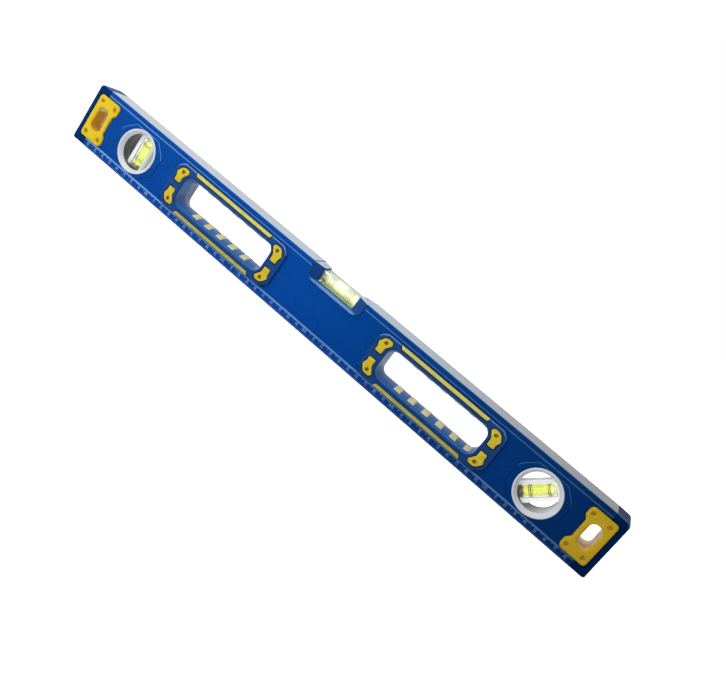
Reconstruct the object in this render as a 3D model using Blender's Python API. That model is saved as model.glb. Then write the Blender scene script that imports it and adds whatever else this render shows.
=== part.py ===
"""A 600 mm box-section spirit level: a hollow aluminium beam with end caps, two hand grips,
two hang-slot bushes and three vials (plumb, level and 45 degrees).

+X runs along the beam, the ruler side faces -Y, and the bottom measuring face lies on Z = 0.
All dimensions below are in millimetres and are turned into metres where meshes are made.
"""

import math

import bmesh
import bpy
from mathutils import Vector

MM = 0.001

# ---- beam ----
LENGTH = 600.0
DEPTH = 25.0
HEIGHT = 58.0
CAP_LENGTH = 13.7
JOINT_GAP = 0.3
WEB_RECESS = 1.0
TOP_FLANGE = 5.0
BOTTOM_FLANGE = 7.0
WALL_WEB = 2.0
WALL_TOP = 3.0
MID_Z = HEIGHT / 2
HALF_DEPTH = DEPTH / 2

# ---- hang-slot brackets ----
BRACKET_X0, BRACKET_X1 = 5.5, 31.2
BRACKET_WAIST_X = 28.0
BRACKET_Z0, BRACKET_Z1 = 7.3, 50.7
BRACKET_PROUD = 1.0
SLOT_X, SLOT_HALF_X, SLOT_HALF_Z, SLOT_R = 17.2, 5.7, 11.3, 4.8
SLOT_FLARE = 1.9
SLOT_WALL = 1.5
BRACKET_SCREW_X = (10.5, 26.6)
BRACKET_SCREW_DZ = 16.5

# ---- hand grips ----
GRIP_X = 121.1
GRIP_HALF_X, GRIP_HALF_Z, GRIP_CHAMFER = 68.0, 21.6, 7.5
GRIP_PROUD = 1.0
OPENING_HALF_X, OPENING_HALF_Z, OPENING_R = 53.0, 15.6, 8.0
CROWN = 4.2
SLEEVE_WALL = 1.8
LINER_WALL = 0.9
LINER_GAP = 0.2
PAD_RAISE = 0.5
GRIP_SCREW_X, GRIP_SCREW_DZ = 58.2, 14.1
BAR_HALF_X, BAR_Z, BAR_HALF_Z = 47.0, 20.0, 1.6
STRIPE_PITCH, STRIPE_HALF_X, STRIPE_DEPTH = 15.0, 3.4, 3.5
STRIPE_FIRST, STRIPES_LEFT, STRIPES_RIGHT = -27.7, 5, 6

# ---- round vials ----
VIAL_X, VIAL_Z = 232.4, 28.6
BEZEL_R, BEZEL_PROUD, WINDOW_R, CONE_DEPTH = 20.6, 0.3, 16.6, 3.2
SLEEVE_OUT_R, SLEEVE_IN_R = 18.9, 17.3
CARRIER_R, CARRIER_HALF_W, CARRIER_HALF_T = 17.0, 9.2, 4.0
TUBE_R, TUBE_BORE_R, TUBE_LOW, TUBE_HIGH, TUBE_END = 5.5, 3.0, -13.2, 14.2, 1.6
PLUG_LOW, PLUG_HEAD_R, PLUG_STEM_TOP = -16.0, 5.3, -12.4
BUBBLE_R, BUBBLE_HALF = 2.1, 2.4

# ---- centre vial ----
POCKET_HALF_X, POCKET_Z, POCKET_R = 30.3, 41.0, 9.5
SCOOP_HALF_X, SCOOP_Z, SCOOP_R = 29.3, 41.9, 8.8
THROAT_HALF_X, THROAT_Z, THROAT_R, SCOOP_DEPTH = 20.2, 44.3, 3.6, 4.5
BLOCK_HALF_X, BLOCK_HALF_Y, BLOCK_Z0, BLOCK_Z1 = 19.4, 7.3, 44.8, 56.2
CRADLE_Z0, CRADLE_Z1 = 37.5, 57.6
CENTRE_BORE_R, CENTRE_BORE_Z = 4.5, 50.5
CENTRE_BUBBLE_R, CENTRE_BUBBLE_HALF, CENTRE_TRAVEL = 1.5, 5.6, 8.0
CENTRE_CHANNEL_Z, CENTRE_PLUG = 52.9, 5.2

COLOURS = {
    "blue_paint": ((0.006, 0.055, 0.35, 1), 0.28, 0.0),
    "blue_plastic": ((0.005, 0.045, 0.28, 1), 0.32, 0.0),
    "yellow_rubber": ((0.78, 0.53, 0.015, 1), 0.45, 0.0),
    "yellow_plastic": ((0.82, 0.56, 0.01, 1), 0.38, 0.0),
    "grey_plastic": ((0.68, 0.69, 0.72, 1), 0.4, 0.0),
    "white_plastic": ((0.85, 0.85, 0.86, 1), 0.4, 0.0),
    "clear_acrylic": ((0.86, 0.93, 0.88, 1), 0.05, 0.0),
    "vial_liquid": ((0.80, 0.88, 0.10, 1), 0.08, 0.0),
    "air": ((0.93, 0.98, 0.85, 1), 0.05, 0.0),
    "zinc_steel": ((0.62, 0.50, 0.20, 1), 0.35, 1.0),
}


# ---------------------------------------------------------------- helpers


def clear_scene():
    for obj in list(bpy.data.objects):
        bpy.data.objects.remove(obj, do_unlink=True)


def material(node_name, kind):
    colour, rough, metal = COLOURS[kind]
    mat = bpy.data.materials.new(node_name + "_" + kind)
    mat.use_nodes = True
    shader = mat.node_tree.nodes["Principled BSDF"]
    shader.inputs["Base Color"].default_value = colour
    shader.inputs["Roughness"].default_value = rough
    shader.inputs["Metallic"].default_value = metal
    mat.diffuse_color = colour
    return mat


def fillet(corners, steps=3):
    """Closed outline from (u, v, radius) corners, each rounded by a short arc."""
    out = []
    n = len(corners)
    for i, (u, v, r) in enumerate(corners):
        p = Vector((u, v))
        a = Vector(corners[i - 1][:2]) - p
        b = Vector(corners[(i + 1) % n][:2]) - p
        la, lb = a.length, b.length
        a.normalize()
        b.normalize()
        if r <= 0:
            out.append((u, v))
            continue
        half = a.angle(b) / 2
        share_a = 0.49 if corners[i - 1][2] > 0 else 0.98
        share_b = 0.49 if corners[(i + 1) % n][2] > 0 else 0.98
        t = min(r / math.tan(half), la * share_a, lb * share_b)
        rad = t * math.tan(half)
        centre = p + (a + b).normalized() * (rad / math.sin(half))
        start = p + a * t - centre
        end = p + b * t - centre
        turn = math.atan2(start.x * end.y - start.y * end.x, start.dot(end))
        for k in range(steps + 1):
            w = turn * k / steps
            out.append(
                (
                    centre.x + start.x * math.cos(w) - start.y * math.sin(w),
                    centre.y + start.x * math.sin(w) + start.y * math.cos(w),
                )
            )
    return out


def rounded_rect(u0, u1, v0, v1, r, steps=4):
    return fillet([(u0, v0, r), (u1, v0, r), (u1, v1, r), (u0, v1, r)], steps)


def prism(bm, outline, a, b, axis="Y"):
    """Extrudes a 2D outline from a to b. Y takes (x, z) outlines, X takes (y, z), Z takes (x, y)."""

    def at(p, h):
        if axis == "Y":
            return (p[0], h, p[1])
        if axis == "X":
            return (h, p[0], p[1])
        return (p[0], p[1], h)

    low = [bm.verts.new(at(p, a)) for p in outline]
    high = [bm.verts.new(at(p, b)) for p in outline]
    n = len(outline)
    bm.faces.new(low)
    bm.faces.new(list(reversed(high)))
    for i in range(n):
        j = (i + 1) % n
        bm.faces.new((low[j], low[i], high[i], high[j]))


def ring_loft(bm, loops):
    """Joins equal-length loops into a closed tube whose last loop meets its first."""
    rows = [[bm.verts.new(p) for p in loop] for loop in loops]
    m = len(rows[0])
    for i, row in enumerate(rows):
        nxt = rows[(i + 1) % len(rows)]
        for j in range(m):
            k = (j + 1) % m
            bm.faces.new((row[j], row[k], nxt[k], nxt[j]))


def lofted(bm, loops):
    """Joins equal-length loops into one solid with its two ends closed."""
    rows = [[bm.verts.new(p) for p in loop] for loop in loops]
    m = len(rows[0])
    bm.faces.new(rows[0])
    bm.faces.new(list(reversed(rows[-1])))
    for row, nxt in zip(rows, rows[1:]):
        for j in range(m):
            k = (j + 1) % m
            bm.faces.new((row[j], nxt[j], nxt[k], row[k]))


def lathe(bm, profile, centre, axis, steps=24, closed=False):
    """Turns (radius, height) points about an axis. A profile that starts and ends on the axis makes a solid."""
    axis = Vector(axis).normalized()
    side = axis.orthogonal().normalized()
    other = axis.cross(side)
    centre = Vector(centre)
    rows = []
    for r, h in profile:
        base = centre + axis * h
        if r < 1e-6:
            rows.append([bm.verts.new(base)])
        else:
            rows.append(
                [
                    bm.verts.new(
                        base
                        + side * (r * math.cos(2 * math.pi * k / steps))
                        + other * (r * math.sin(2 * math.pi * k / steps))
                    )
                    for k in range(steps)
                ]
            )
    pairs = list(zip(rows, rows[1:]))
    if closed:
        pairs.append((rows[-1], rows[0]))
    for a, b in pairs:
        if len(a) == 1 and len(b) == 1:
            continue
        for k in range(steps):
            j = (k + 1) % steps
            if len(a) == 1:
                bm.faces.new((a[0], b[k], b[j]))
            elif len(b) == 1:
                bm.faces.new((a[k], b[0], a[j]))
            else:
                bm.faces.new((a[k], b[k], b[j], a[j]))


def cylinder(bm, centre, axis, radius, h0, h1, steps=16):
    lathe(bm, [(0, h0), (radius, h0), (radius, h1), (0, h1)], centre, axis, steps)


def box(bm, x0, x1, y0, y1, z0, z1):
    prism(bm, [(x0, z0), (x1, z0), (x1, z1), (x0, z1)], y0, y1)


def finish(name, bm, kind, origin=(0, 0, 0), smooth=False, cutter=False):
    """Turns a bmesh in millimetres into a named object in metres with its origin where it is asked for."""
    bmesh.ops.recalc_face_normals(bm, faces=bm.faces)
    bmesh.ops.translate(bm, verts=bm.verts, vec=-Vector(origin))
    bmesh.ops.scale(bm, verts=bm.verts, vec=(MM, MM, MM))
    for face in bm.faces:
        face.smooth = smooth
    mesh = bpy.data.meshes.new(name)
    bm.to_mesh(mesh)
    bm.free()
    obj = bpy.data.objects.new(name, mesh)
    obj.location = Vector(origin) * MM
    bpy.context.scene.collection.objects.link(obj)
    if cutter:
        obj.hide_render = True
        obj.display_type = "WIRE"
    else:
        mesh.materials.append(material(name, kind))
        obj.parent = ROOT
    return obj


def bevel(obj, width, segments=1, angle=50):
    mod = obj.modifiers.new("Bevel", "BEVEL")
    mod.width = width * MM
    mod.segments = segments
    mod.limit_method = "ANGLE"
    mod.angle_limit = math.radians(angle)


def boolean(obj, other, operation):
    mod = obj.modifiers.new(operation.title(), "BOOLEAN")
    mod.solver = "EXACT"
    mod.operation = operation
    mod.object = other


def cut(obj, name, build):
    bm = bmesh.new()
    build(bm)
    boolean(obj, finish(name + "_cutter", bm, None, cutter=True), "DIFFERENCE")


def join(obj, name, build, rounding=0):
    bm = bmesh.new()
    build(bm)
    helper = finish(name + "_helper", bm, None, cutter=True)
    if rounding:
        bevel(helper, rounding)
    boolean(obj, helper, "UNION")


def depth_y(side, depth):
    """World y of a point that lies this deep behind the front (-1) or rear (+1) face plane."""
    return side * (HALF_DEPTH - depth)


def mirrored(outline, centre_x, hand):
    """An outline drawn from a left end or left side, moved to centre_x and flipped when hand is -1."""
    return [(centre_x + hand * u, v) for u, v in outline]


# ---------------------------------------------------------------- outlines


def pocket_outline(grow=0.0, top=HEIGHT + 5):
    hx, z0 = POCKET_HALF_X + grow, POCKET_Z - grow
    return fillet([(-hx, z0, POCKET_R), (hx, z0, POCKET_R), (hx, top, 0), (-hx, top, 0)], 6)


def slot_outline(grow=0.0, steps=3):
    return rounded_rect(
        SLOT_X - SLOT_HALF_X - grow,
        SLOT_X + SLOT_HALF_X + grow,
        MID_Z - SLOT_HALF_Z - grow,
        MID_Z + SLOT_HALF_Z + grow,
        SLOT_R + grow,
        steps,
    )


def bracket_outline(grow=0.0):
    x0, x1, w = BRACKET_X0 - grow, BRACKET_X1 + grow, BRACKET_WAIST_X + grow
    z0, z1 = BRACKET_Z0 - grow, BRACKET_Z1 + grow
    return fillet(
        [
            (x0, z0, 3.2), (x1, z0, 4.0), (x1, z0 + 9.0, 3.0), (w, z0 + 13.0, 3.0),
            (w, z1 - 13.0, 3.0), (x1, z1 - 9.0, 3.0), (x1, z1, 4.0), (x0, z1, 3.2),
        ],
        2,
    )


def opening_loop(cx, y, grow, squeeze=0.0, steps=3):
    """Rounded hand-hole outline: grow pushes it outward, squeeze brings its long walls together."""
    hx = OPENING_HALF_X + grow
    hz = OPENING_HALF_Z + grow - squeeze
    r = max(OPENING_R + grow, 1.0)
    return [
        Vector((cx + u, y, MID_Z + v)) for u, v in rounded_rect(-hx, hx, -hz, hz, r, steps)
    ]


def plate_loop(cx, y, inset, steps=3):
    """Chamfered outline of the grip's plate with as many points as opening_loop."""
    hx, hz, c = GRIP_HALF_X - inset, GRIP_HALF_Z - inset, GRIP_CHAMFER - inset * 0.4
    out = []
    for su, sv, first in ((-1, -1, 0), (1, -1, 1), (1, 1, 0), (-1, 1, 1)):
        a = Vector((su * hx, sv * (hz - c)))
        b = Vector((su * (hx - c), sv * hz))
        if first:
            a, b = b, a
        for k in range(steps + 1):
            t = k / steps
            p = a.lerp(b, t) + Vector((su, sv)).normalized() * (1.1 * math.sin(math.pi * t))
            out.append(Vector((cx + p.x, y, MID_Z + p.y)))
    return out


def crown(depth):
    """How far the long walls of the hand hole bulge inward at this depth."""
    t = (depth - HALF_DEPTH) / (HALF_DEPTH + GRIP_PROUD)
    return CROWN * (1 - t * t)


def pad_outline():
    """Finger-shaped pad round the upper left screw, drawn from that screw."""
    return fillet(
        [
            (-5.0, -10.6, 0.7), (1.7, -10.6, 0.7), (1.9, -4.6, 1.6), (6.0, 1.4, 1.0),
            (4.2, 3.8, 1.0), (-0.2, 4.1, 1.4), (-3.4, 2.6, 1.4), (-6.6, -2.2, 1.0), (-5.0, -6.2, 1.4),
        ],
        1,
    )


# ---------------------------------------------------------------- beam and caps


def bracket_screws(hand):
    return [(hand * (-LENGTH / 2 + x), MID_Z + dz) for x in BRACKET_SCREW_X for dz in (-BRACKET_SCREW_DZ, BRACKET_SCREW_DZ)]


def grip_screws(hand):
    cx = -hand * GRIP_X
    return [(cx + dx, MID_Z + dz) for dx in (-GRIP_SCREW_X, GRIP_SCREW_X) for dz in (-GRIP_SCREW_DZ, GRIP_SCREW_DZ)]


def make_beam():
    end = LENGTH / 2 - CAP_LENGTH - JOINT_GAP / 2
    h, w, f = HALF_DEPTH, HALF_DEPTH - WEB_RECESS, 0.5
    top, low = HEIGHT - TOP_FLANGE, BOTTOM_FLANGE
    profile = [
        (-h + f, 0), (h - f, 0), (h, f), (h, low - f), (w, low), (w, top), (h, top + f), (h, HEIGHT - f),
        (h - f, HEIGHT), (-h + f, HEIGHT), (-h, HEIGHT - f), (-h, top + f), (-w, top), (-w, low), (-h, low - f), (-h, f),
    ]
    bm = bmesh.new()
    prism(bm, profile, -end, end, axis="X")
    beam = finish("aluminium_beam", bm, "blue_paint")
    inner = HALF_DEPTH - WEB_RECESS - WALL_WEB

    def cavity(bm):
        prism(bm, [(-inner, WALL_TOP), (inner, WALL_TOP), (inner, HEIGHT - WALL_TOP), (-inner, HEIGHT - WALL_TOP)], -LENGTH, LENGTH, axis="X")

    cut(beam, "beam_cavity", cavity)

    def windows(bm):
        for sx in (-1, 1):
            cylinder(bm, (sx * VIAL_X, 0, VIAL_Z), (0, 1, 0), SLEEVE_OUT_R + JOINT_GAP, -40, 40, 36)
            hole = opening_loop(sx * GRIP_X, 0, SLEEVE_WALL + LINER_GAP + LINER_WALL + JOINT_GAP, 0)
            prism(bm, [(p.x, p.z) for p in hole], -41, 41)
            notch = mirrored(slot_outline(SLOT_WALL + JOINT_GAP), -sx * LENGTH / 2, sx)
            prism(bm, notch, -42, 42)
        prism(bm, pocket_outline(), -43, 43)

    cut(beam, "beam_windows", windows)

    def post_holes(bm):
        for hand in (-1, 1):
            for x, z in grip_screws(hand) + [p for p in bracket_screws(hand) if abs(p[0]) < end]:
                cylinder(bm, (x, 0, z), (0, 1, 0), 2.9, -44, 44, 10)

    cut(beam, "beam_post_holes", post_holes)
    return beam


def make_cap(side_name, hand):
    """hand +1 makes the left cap, -1 the right one."""
    base = -hand * LENGTH / 2
    seam = CAP_LENGTH - JOINT_GAP / 2
    outline = fillet(
        [(0.0, 0.0, 2.0), (seam, 0.0, 0), (seam, HEIGHT, 0), (0.0, HEIGHT - 0.6, 3.6)], 3
    )
    bm = bmesh.new()
    prism(bm, mirrored(outline, base, hand), -HALF_DEPTH, HALF_DEPTH)
    # the two upright end corners are rounded in plan
    cap = finish("end_cap_" + side_name, bm, "blue_plastic")

    def corners(bm):
        for sy in (-1, 1):
            r = 1.5
            pts = [(0 - 1, sy * (HALF_DEPTH + 1))]
            pts += [
                (r - r * math.cos(w), sy * (HALF_DEPTH - r + r * math.sin(w)))
                for w in [math.pi / 2 * (k / 4) for k in range(4, -1, -1)]
            ]
            pts.insert(1, (r, sy * (HALF_DEPTH + 1)))
            pts.append((-1, sy * (HALF_DEPTH - r)))
            prism(bm, [(base + hand * u, v) for u, v in pts], -5, HEIGHT + 5, axis="Z")

    cut(cap, "cap_corners_" + side_name, corners)

    def seats(bm):
        for sy in (-1, 1):
            y0 = sy * (HALF_DEPTH - WEB_RECESS)
            y1 = sy * (HALF_DEPTH + 2)
            seat = fillet(
                [(4.6, 6.4, 3.0), (seam + 3, 6.4, 0), (seam + 3, 51.6, 0), (4.6, 51.6, 3.0)], 3
            )
            prism(bm, mirrored(seat, base, hand), min(y0, y1), max(y0, y1))

    cut(cap, "cap_seats_" + side_name, seats)

    def tongue(bm):
        half = HALF_DEPTH - WEB_RECESS - WALL_WEB - JOINT_GAP
        z0, z1 = WALL_TOP + JOINT_GAP, HEIGHT - WALL_TOP - JOINT_GAP
        x0, x1 = sorted((base + hand * (CAP_LENGTH - 4), base + hand * 33.0))
        box(bm, x0, x1, -half, half, z0, z1)

    join(cap, "cap_tongue_" + side_name, tongue)

    def tunnel(bm):
        prism(bm, mirrored(slot_outline(SLOT_WALL + JOINT_GAP), base, hand), -40, 40)

    cut(cap, "cap_tunnel_" + side_name, tunnel)

    def bores(bm):
        for x, z in bracket_screws(hand):
            cylinder(bm, (x, 0, z), (0, 1, 0), 2.9, -41, 41, 10)

    cut(cap, "cap_bores_" + side_name, bores)
    return cap


# ---------------------------------------------------------------- hang-slot brackets


def make_bracket(side_name, hand, face, side):
    base = -hand * LENGTH / 2
    y_front, y_back = depth_y(side, -BRACKET_PROUD), depth_y(side, WEB_RECESS - 0.2)
    bm = bmesh.new()
    prism(bm, mirrored(bracket_outline(), base, hand), y_front, y_back)
    obj = finish("hang_bracket_%s_%s" % (side_name, face), bm, "yellow_plastic")
    bevel(obj, 0.6)
    tag = "%s_%s" % (side_name, face)
    seam = depth_y(side, HALF_DEPTH - JOINT_GAP / 2)

    def sleeve(bm):
        prism(bm, mirrored(slot_outline(SLOT_WALL), base, hand), depth_y(side, 0.2), seam)
        for x, z in bracket_screws(hand):
            cylinder(bm, (x, 0, z), (0, side, 0), 2.6, JOINT_GAP / 2, HALF_DEPTH - 0.2, 10)

    join(obj, "bracket_sleeve_" + tag, sleeve)

    def hollow(bm):
        grown = mirrored(slot_outline(SLOT_FLARE + 0.5), base, hand)
        mouth = mirrored(slot_outline(0.0), base, hand)
        lofted(
            bm,
            [
                [(u, depth_y(side, -BRACKET_PROUD - 0.5), v) for u, v in grown],
                [(u, depth_y(side, -BRACKET_PROUD + SLOT_FLARE), v) for u, v in mouth],
                [(u, depth_y(side, HALF_DEPTH + 3), v) for u, v in mouth],
            ],
        )

    cut(obj, "bracket_hollow_" + tag, hollow)

    def recesses(bm):
        for x, z in bracket_screws(hand):
            if side < 0:
                lathe(bm, [(0, -40), (2.1, -40), (2.1, -HALF_DEPTH + 1.6), (1.25, -HALF_DEPTH + 1.6), (1.25, 20), (0, 20)], (x, 0, z), (0, 1, 0), 10)
            else:
                cylinder(bm, (x, 0, z), (0, 1, 0), 1.25, -2, 8.2, 10)

    cut(obj, "bracket_recess_" + tag, recesses)
    return obj


def make_screw(name, x, z, head_y, head_r, tip_y):
    """A pan-head screw with a slotted head that runs from the front into the rear half."""
    bm = bmesh.new()
    lathe(
        bm,
        [(0, head_y), (head_r * 0.8, head_y), (head_r, head_y + 0.4), (head_r, head_y + 1.1), (0.95, head_y + 1.1), (0.95, tip_y - 0.8), (0, tip_y)],
        (x, 0, z),
        (0, 1, 0),
        10,
    )
    obj = finish(name, bm, "zinc_steel", origin=(x, head_y, z))

    def drive(bm):
        box(bm, x - 0.3, x + 0.3, head_y - 0.5, head_y + 0.4, z - head_r - 1, z + head_r + 1)

    cut(obj, name + "_drive", drive)
    return obj


# ---------------------------------------------------------------- hand grips

SLEEVE_LEVELS = (0.8, 6.0, HALF_DEPTH - JOINT_GAP / 2)


def stripe_xs(cx):
    count = STRIPES_LEFT if cx < 0 else STRIPES_RIGHT
    return [cx + STRIPE_FIRST + k * STRIPE_PITCH for k in range(count)]


def stripe_profile(side, wall, proud, outer, start, end):
    """Side view (y, z) of one finger stripe, from the liner to a little above the crowned wall."""
    pts = []
    depths = (start, 6.0, end)
    for d in depths:
        pts.append((depth_y(side, d), MID_Z + wall * (OPENING_HALF_Z - crown(d) - proud)))
    for d in reversed(depths):
        pts.append((depth_y(side, d), MID_Z + wall * (OPENING_HALF_Z - crown(d) + outer)))
    return pts


def make_grip_shell(side_name, hand, face, side):
    cx = -hand * GRIP_X
    tag = "%s_%s" % (side_name, face)
    front, back = -GRIP_PROUD, WEB_RECESS - 0.2
    y = lambda d: depth_y(side, d)
    loops = [opening_loop(cx, y(front), 1.0, crown(front)), opening_loop(cx, y(front + 0.9), 0.0, crown(front + 0.9))]
    loops += [opening_loop(cx, y(d), 0.0, crown(d)) for d in SLEEVE_LEVELS]
    loops += [opening_loop(cx, y(d), SLEEVE_WALL, crown(d)) for d in reversed(SLEEVE_LEVELS[1:])]
    loops += [opening_loop(cx, y(0.2), SLEEVE_WALL, crown(0.2))]
    loops += [plate_loop(cx, y(0.2), 1.3), plate_loop(cx, y(back), 1.3), plate_loop(cx, y(back), 0.0)]
    loops += [plate_loop(cx, y(front + 0.7), 0.0), plate_loop(cx, y(front), 0.7)]
    bm = bmesh.new()
    ring_loft(bm, loops)
    shell = finish("grip_shell_" + tag, bm, "blue_plastic")

    def posts(bm):
        for x, z in grip_screws(hand):
            cylinder(bm, (x, 0, z), (0, side, 0), 2.6, JOINT_GAP / 2, HALF_DEPTH - 0.1, 10)

    join(shell, "grip_posts_" + tag, posts)

    def windows(bm):
        for x, z in grip_screws(hand):
            prism(bm, pad_at(cx, x, z), y(front - 1), y(-0.35))
        for sz in (-1, 1):
            prism(bm, bar_at(cx, sz, 0.2), y(front - 1), y(1.2))
        for sx in stripe_xs(cx):
            prism(bm, stripe_profile(side, -1, 2.0, SLEEVE_WALL + 2.0, STRIPE_DEPTH - 0.2, HALF_DEPTH + 1), sx - STRIPE_HALF_X - 0.2, sx + STRIPE_HALF_X + 0.2, axis="X")

    cut(shell, "grip_windows_" + tag, windows)

    def links(bm):
        # two small ports per pad let the soft part reach it from the layer behind the plate
        for x, z in grip_screws(hand):
            u, v = (1 if x > cx else -1), (1 if z > MID_Z else -1)
            cylinder(bm, (x + u * 1.6, 0, z - v * 8.2), (0, 1, 0), 1.85, *sorted((y(-0.6), y(0.5))), 8)
            if side < 0:
                lathe(bm, [(0, -40), (1.9, -40), (1.9, -HALF_DEPTH + 1.4), (1.25, -HALF_DEPTH + 1.4), (1.25, 20), (0, 20)], (x, 0, z), (0, 1, 0), 10)
            else:
                cylinder(bm, (x, 0, z), (0, 1, 0), 1.25, -2, 8.2, 10)

    cut(shell, "grip_links_" + tag, links)
    return shell


def pad_at(cx, x, z, grow=0.2):
    """The pad's outline about its screw, flipped to suit its corner."""
    su = 1 if x < cx else -1
    sv = 1 if z > MID_Z else -1
    pts = pad_outline()
    mid = Vector((sum(p[0] for p in pts) / len(pts), sum(p[1] for p in pts) / len(pts)))
    out = []
    for p in pts:
        q = Vector(p) + (Vector(p) - mid).normalized() * grow
        out.append((x + su * q.x, z + sv * q.y))
    return out


def bar_at(cx, sz, grow=0.2):
    h, b = BAR_HALF_X + grow, BAR_HALF_Z + grow
    z = MID_Z + sz * BAR_Z
    # the end of the bar nearer the middle of the hand hole is the shorter side
    long_z, short_z = z + sz * b, z - sz * b
    return [(cx - h, long_z), (cx - h + 2.2, short_z), (cx + h - 2.2, short_z), (cx + h, long_z)]


def make_grip_soft(side_name, hand, face, side):
    cx = -hand * GRIP_X
    tag = "%s_%s" % (side_name, face)
    y = lambda d: depth_y(side, d)
    g0, g1 = SLEEVE_WALL + LINER_GAP, SLEEVE_WALL + LINER_GAP + LINER_WALL
    back = WEB_RECESS - 0.2
    levels = (6.0, HALF_DEPTH - JOINT_GAP / 2)
    loops = [opening_loop(cx, y(0.4), g0, crown(0.4))]
    loops += [opening_loop(cx, y(d), g0, crown(d)) for d in levels]
    loops += [opening_loop(cx, y(d), g1, crown(d)) for d in reversed(levels)]
    loops += [opening_loop(cx, y(back), g1, crown(back)), plate_loop(cx, y(back), 1.5), plate_loop(cx, y(0.4), 1.5)]
    bm = bmesh.new()
    ring_loft(bm, loops)
    soft = finish("grip_soft_" + tag, bm, "yellow_rubber")

    def raised(bm):
        top = -GRIP_PROUD - PAD_RAISE
        for x, z in grip_screws(hand):
            base = pad_at(cx, x, z, 0.0)
            mid = Vector((sum(p[0] for p in base) / len(base), sum(p[1] for p in base) / len(base)))
            small = [tuple(Vector(p) + (mid - Vector(p)).normalized() * 0.45) for p in base]
            lofted(
                bm,
                [
                    [(u, y(-0.5), v) for u, v in base],
                    [(u, y(top + 0.45), v) for u, v in base],
                    [(u, y(top), v) for u, v in small],
                ],
            )
        for sz in (-1, 1):
            base = bar_at(cx, sz, 0.0)
            small = bar_at(cx, sz, -0.4)
            lofted(bm, [[(u, y(0.6), v) for u, v in base], [(u, y(top + 0.4), v) for u, v in base], [(u, y(top), v) for u, v in small]])
        for sx in stripe_xs(cx):
            prism(bm, stripe_profile(side, -1, 0.3, SLEEVE_WALL + 0.5, STRIPE_DEPTH, HALF_DEPTH - JOINT_GAP), sx - STRIPE_HALF_X, sx + STRIPE_HALF_X, axis="X")

    join(soft, "soft_raised_" + tag, raised)

    def links(bm):
        for x, z in grip_screws(hand):
            u, v = (1 if x > cx else -1), (1 if z > MID_Z else -1)
            cylinder(bm, (x + u * 1.6, 0, z - v * 8.2), (0, 1, 0), 1.6, *sorted((y(-0.8), y(0.6))), 8)

    join(soft, "soft_links_" + tag, links)

    def clear(bm):
        # room for the shell's screw posts, and in the front half the dimple over each screw head
        for x, z in grip_screws(hand):
            if side < 0:
                lathe(bm, [(0, -40), (2.0, -40), (2.0, y(-0.25)), (2.9, y(-0.25)), (2.9, 1), (0, 1)], (x, 0, z), (0, 1, 0), 10)
            else:
                cylinder(bm, (x, 0, z), (0, 1, 0), 2.9, -1, y(-0.25), 10)

    cut(soft, "soft_clear_" + tag, clear)
    return soft


# ---------------------------------------------------------------- round vials


def tube_axis(angle):
    w = math.radians(angle)
    return Vector((math.cos(w), 0, math.sin(w)))


def make_bezel(vial, cx, face, side):
    seam = HALF_DEPTH - JOINT_GAP / 2
    bm = bmesh.new()
    profile = [
        (BEZEL_R - 0.5, -BEZEL_PROUD), (BEZEL_R, -BEZEL_PROUD + 0.5), (BEZEL_R, WEB_RECESS - 0.2),
        (SLEEVE_OUT_R, WEB_RECESS - 0.2), (SLEEVE_OUT_R, seam), (SLEEVE_IN_R, seam), (SLEEVE_IN_R, CONE_DEPTH + 1.0),
        (WINDOW_R, CONE_DEPTH), (BEZEL_R - 1.3, -BEZEL_PROUD),
    ]
    lathe(bm, profile, (cx, side * HALF_DEPTH, VIAL_Z), (0, -side, 0), 36, closed=True)
    return finish("%s_vial_bezel_%s" % (vial, face), bm, "grey_plastic", origin=(cx, side * HALF_DEPTH, VIAL_Z), smooth=False)


def make_carrier(vial, cx, angle):
    """The U-shaped frame that holds the tube: two rails joined past its closed end, clamped between the bezels."""
    axis = tube_axis(angle)
    across = Vector((-axis.z, 0, axis.x))
    centre = Vector((cx, 0, VIAL_Z))

    def world(u, v, y):
        return centre + axis * u + across * v + Vector((0, y, 0))

    hw, t = CARRIER_HALF_W, CARRIER_HALF_T
    top = math.asin(hw / CARRIER_R)
    arc = [CARRIER_R * Vector((math.cos(w), math.sin(w))) for w in [top * (1 - k / 4) for k in range(9)]]
    outline = [(p.x, p.y) for p in arc] + [(-p.x, -p.y) for p in arc]
    bm = bmesh.new()
    lofted(bm, [[world(u, v, -t) for u, v in outline], [world(u, v, t) for u, v in outline]])
    obj = finish(vial + "_vial_carrier", bm, "white_plastic", origin=centre)

    def bed(bm):
        v, low, high = TUBE_R + 0.3, -CARRIER_R - 2, TUBE_HIGH + 0.2
        outline = [(low, -v), (high, -v), (high, v), (low, v)]
        lofted(bm, [[world(u, w, -t - 1) for u, w in outline], [world(u, w, t + 1) for u, w in outline]])

    cut(obj, vial + "_carrier_bed", bed)
    return obj


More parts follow.
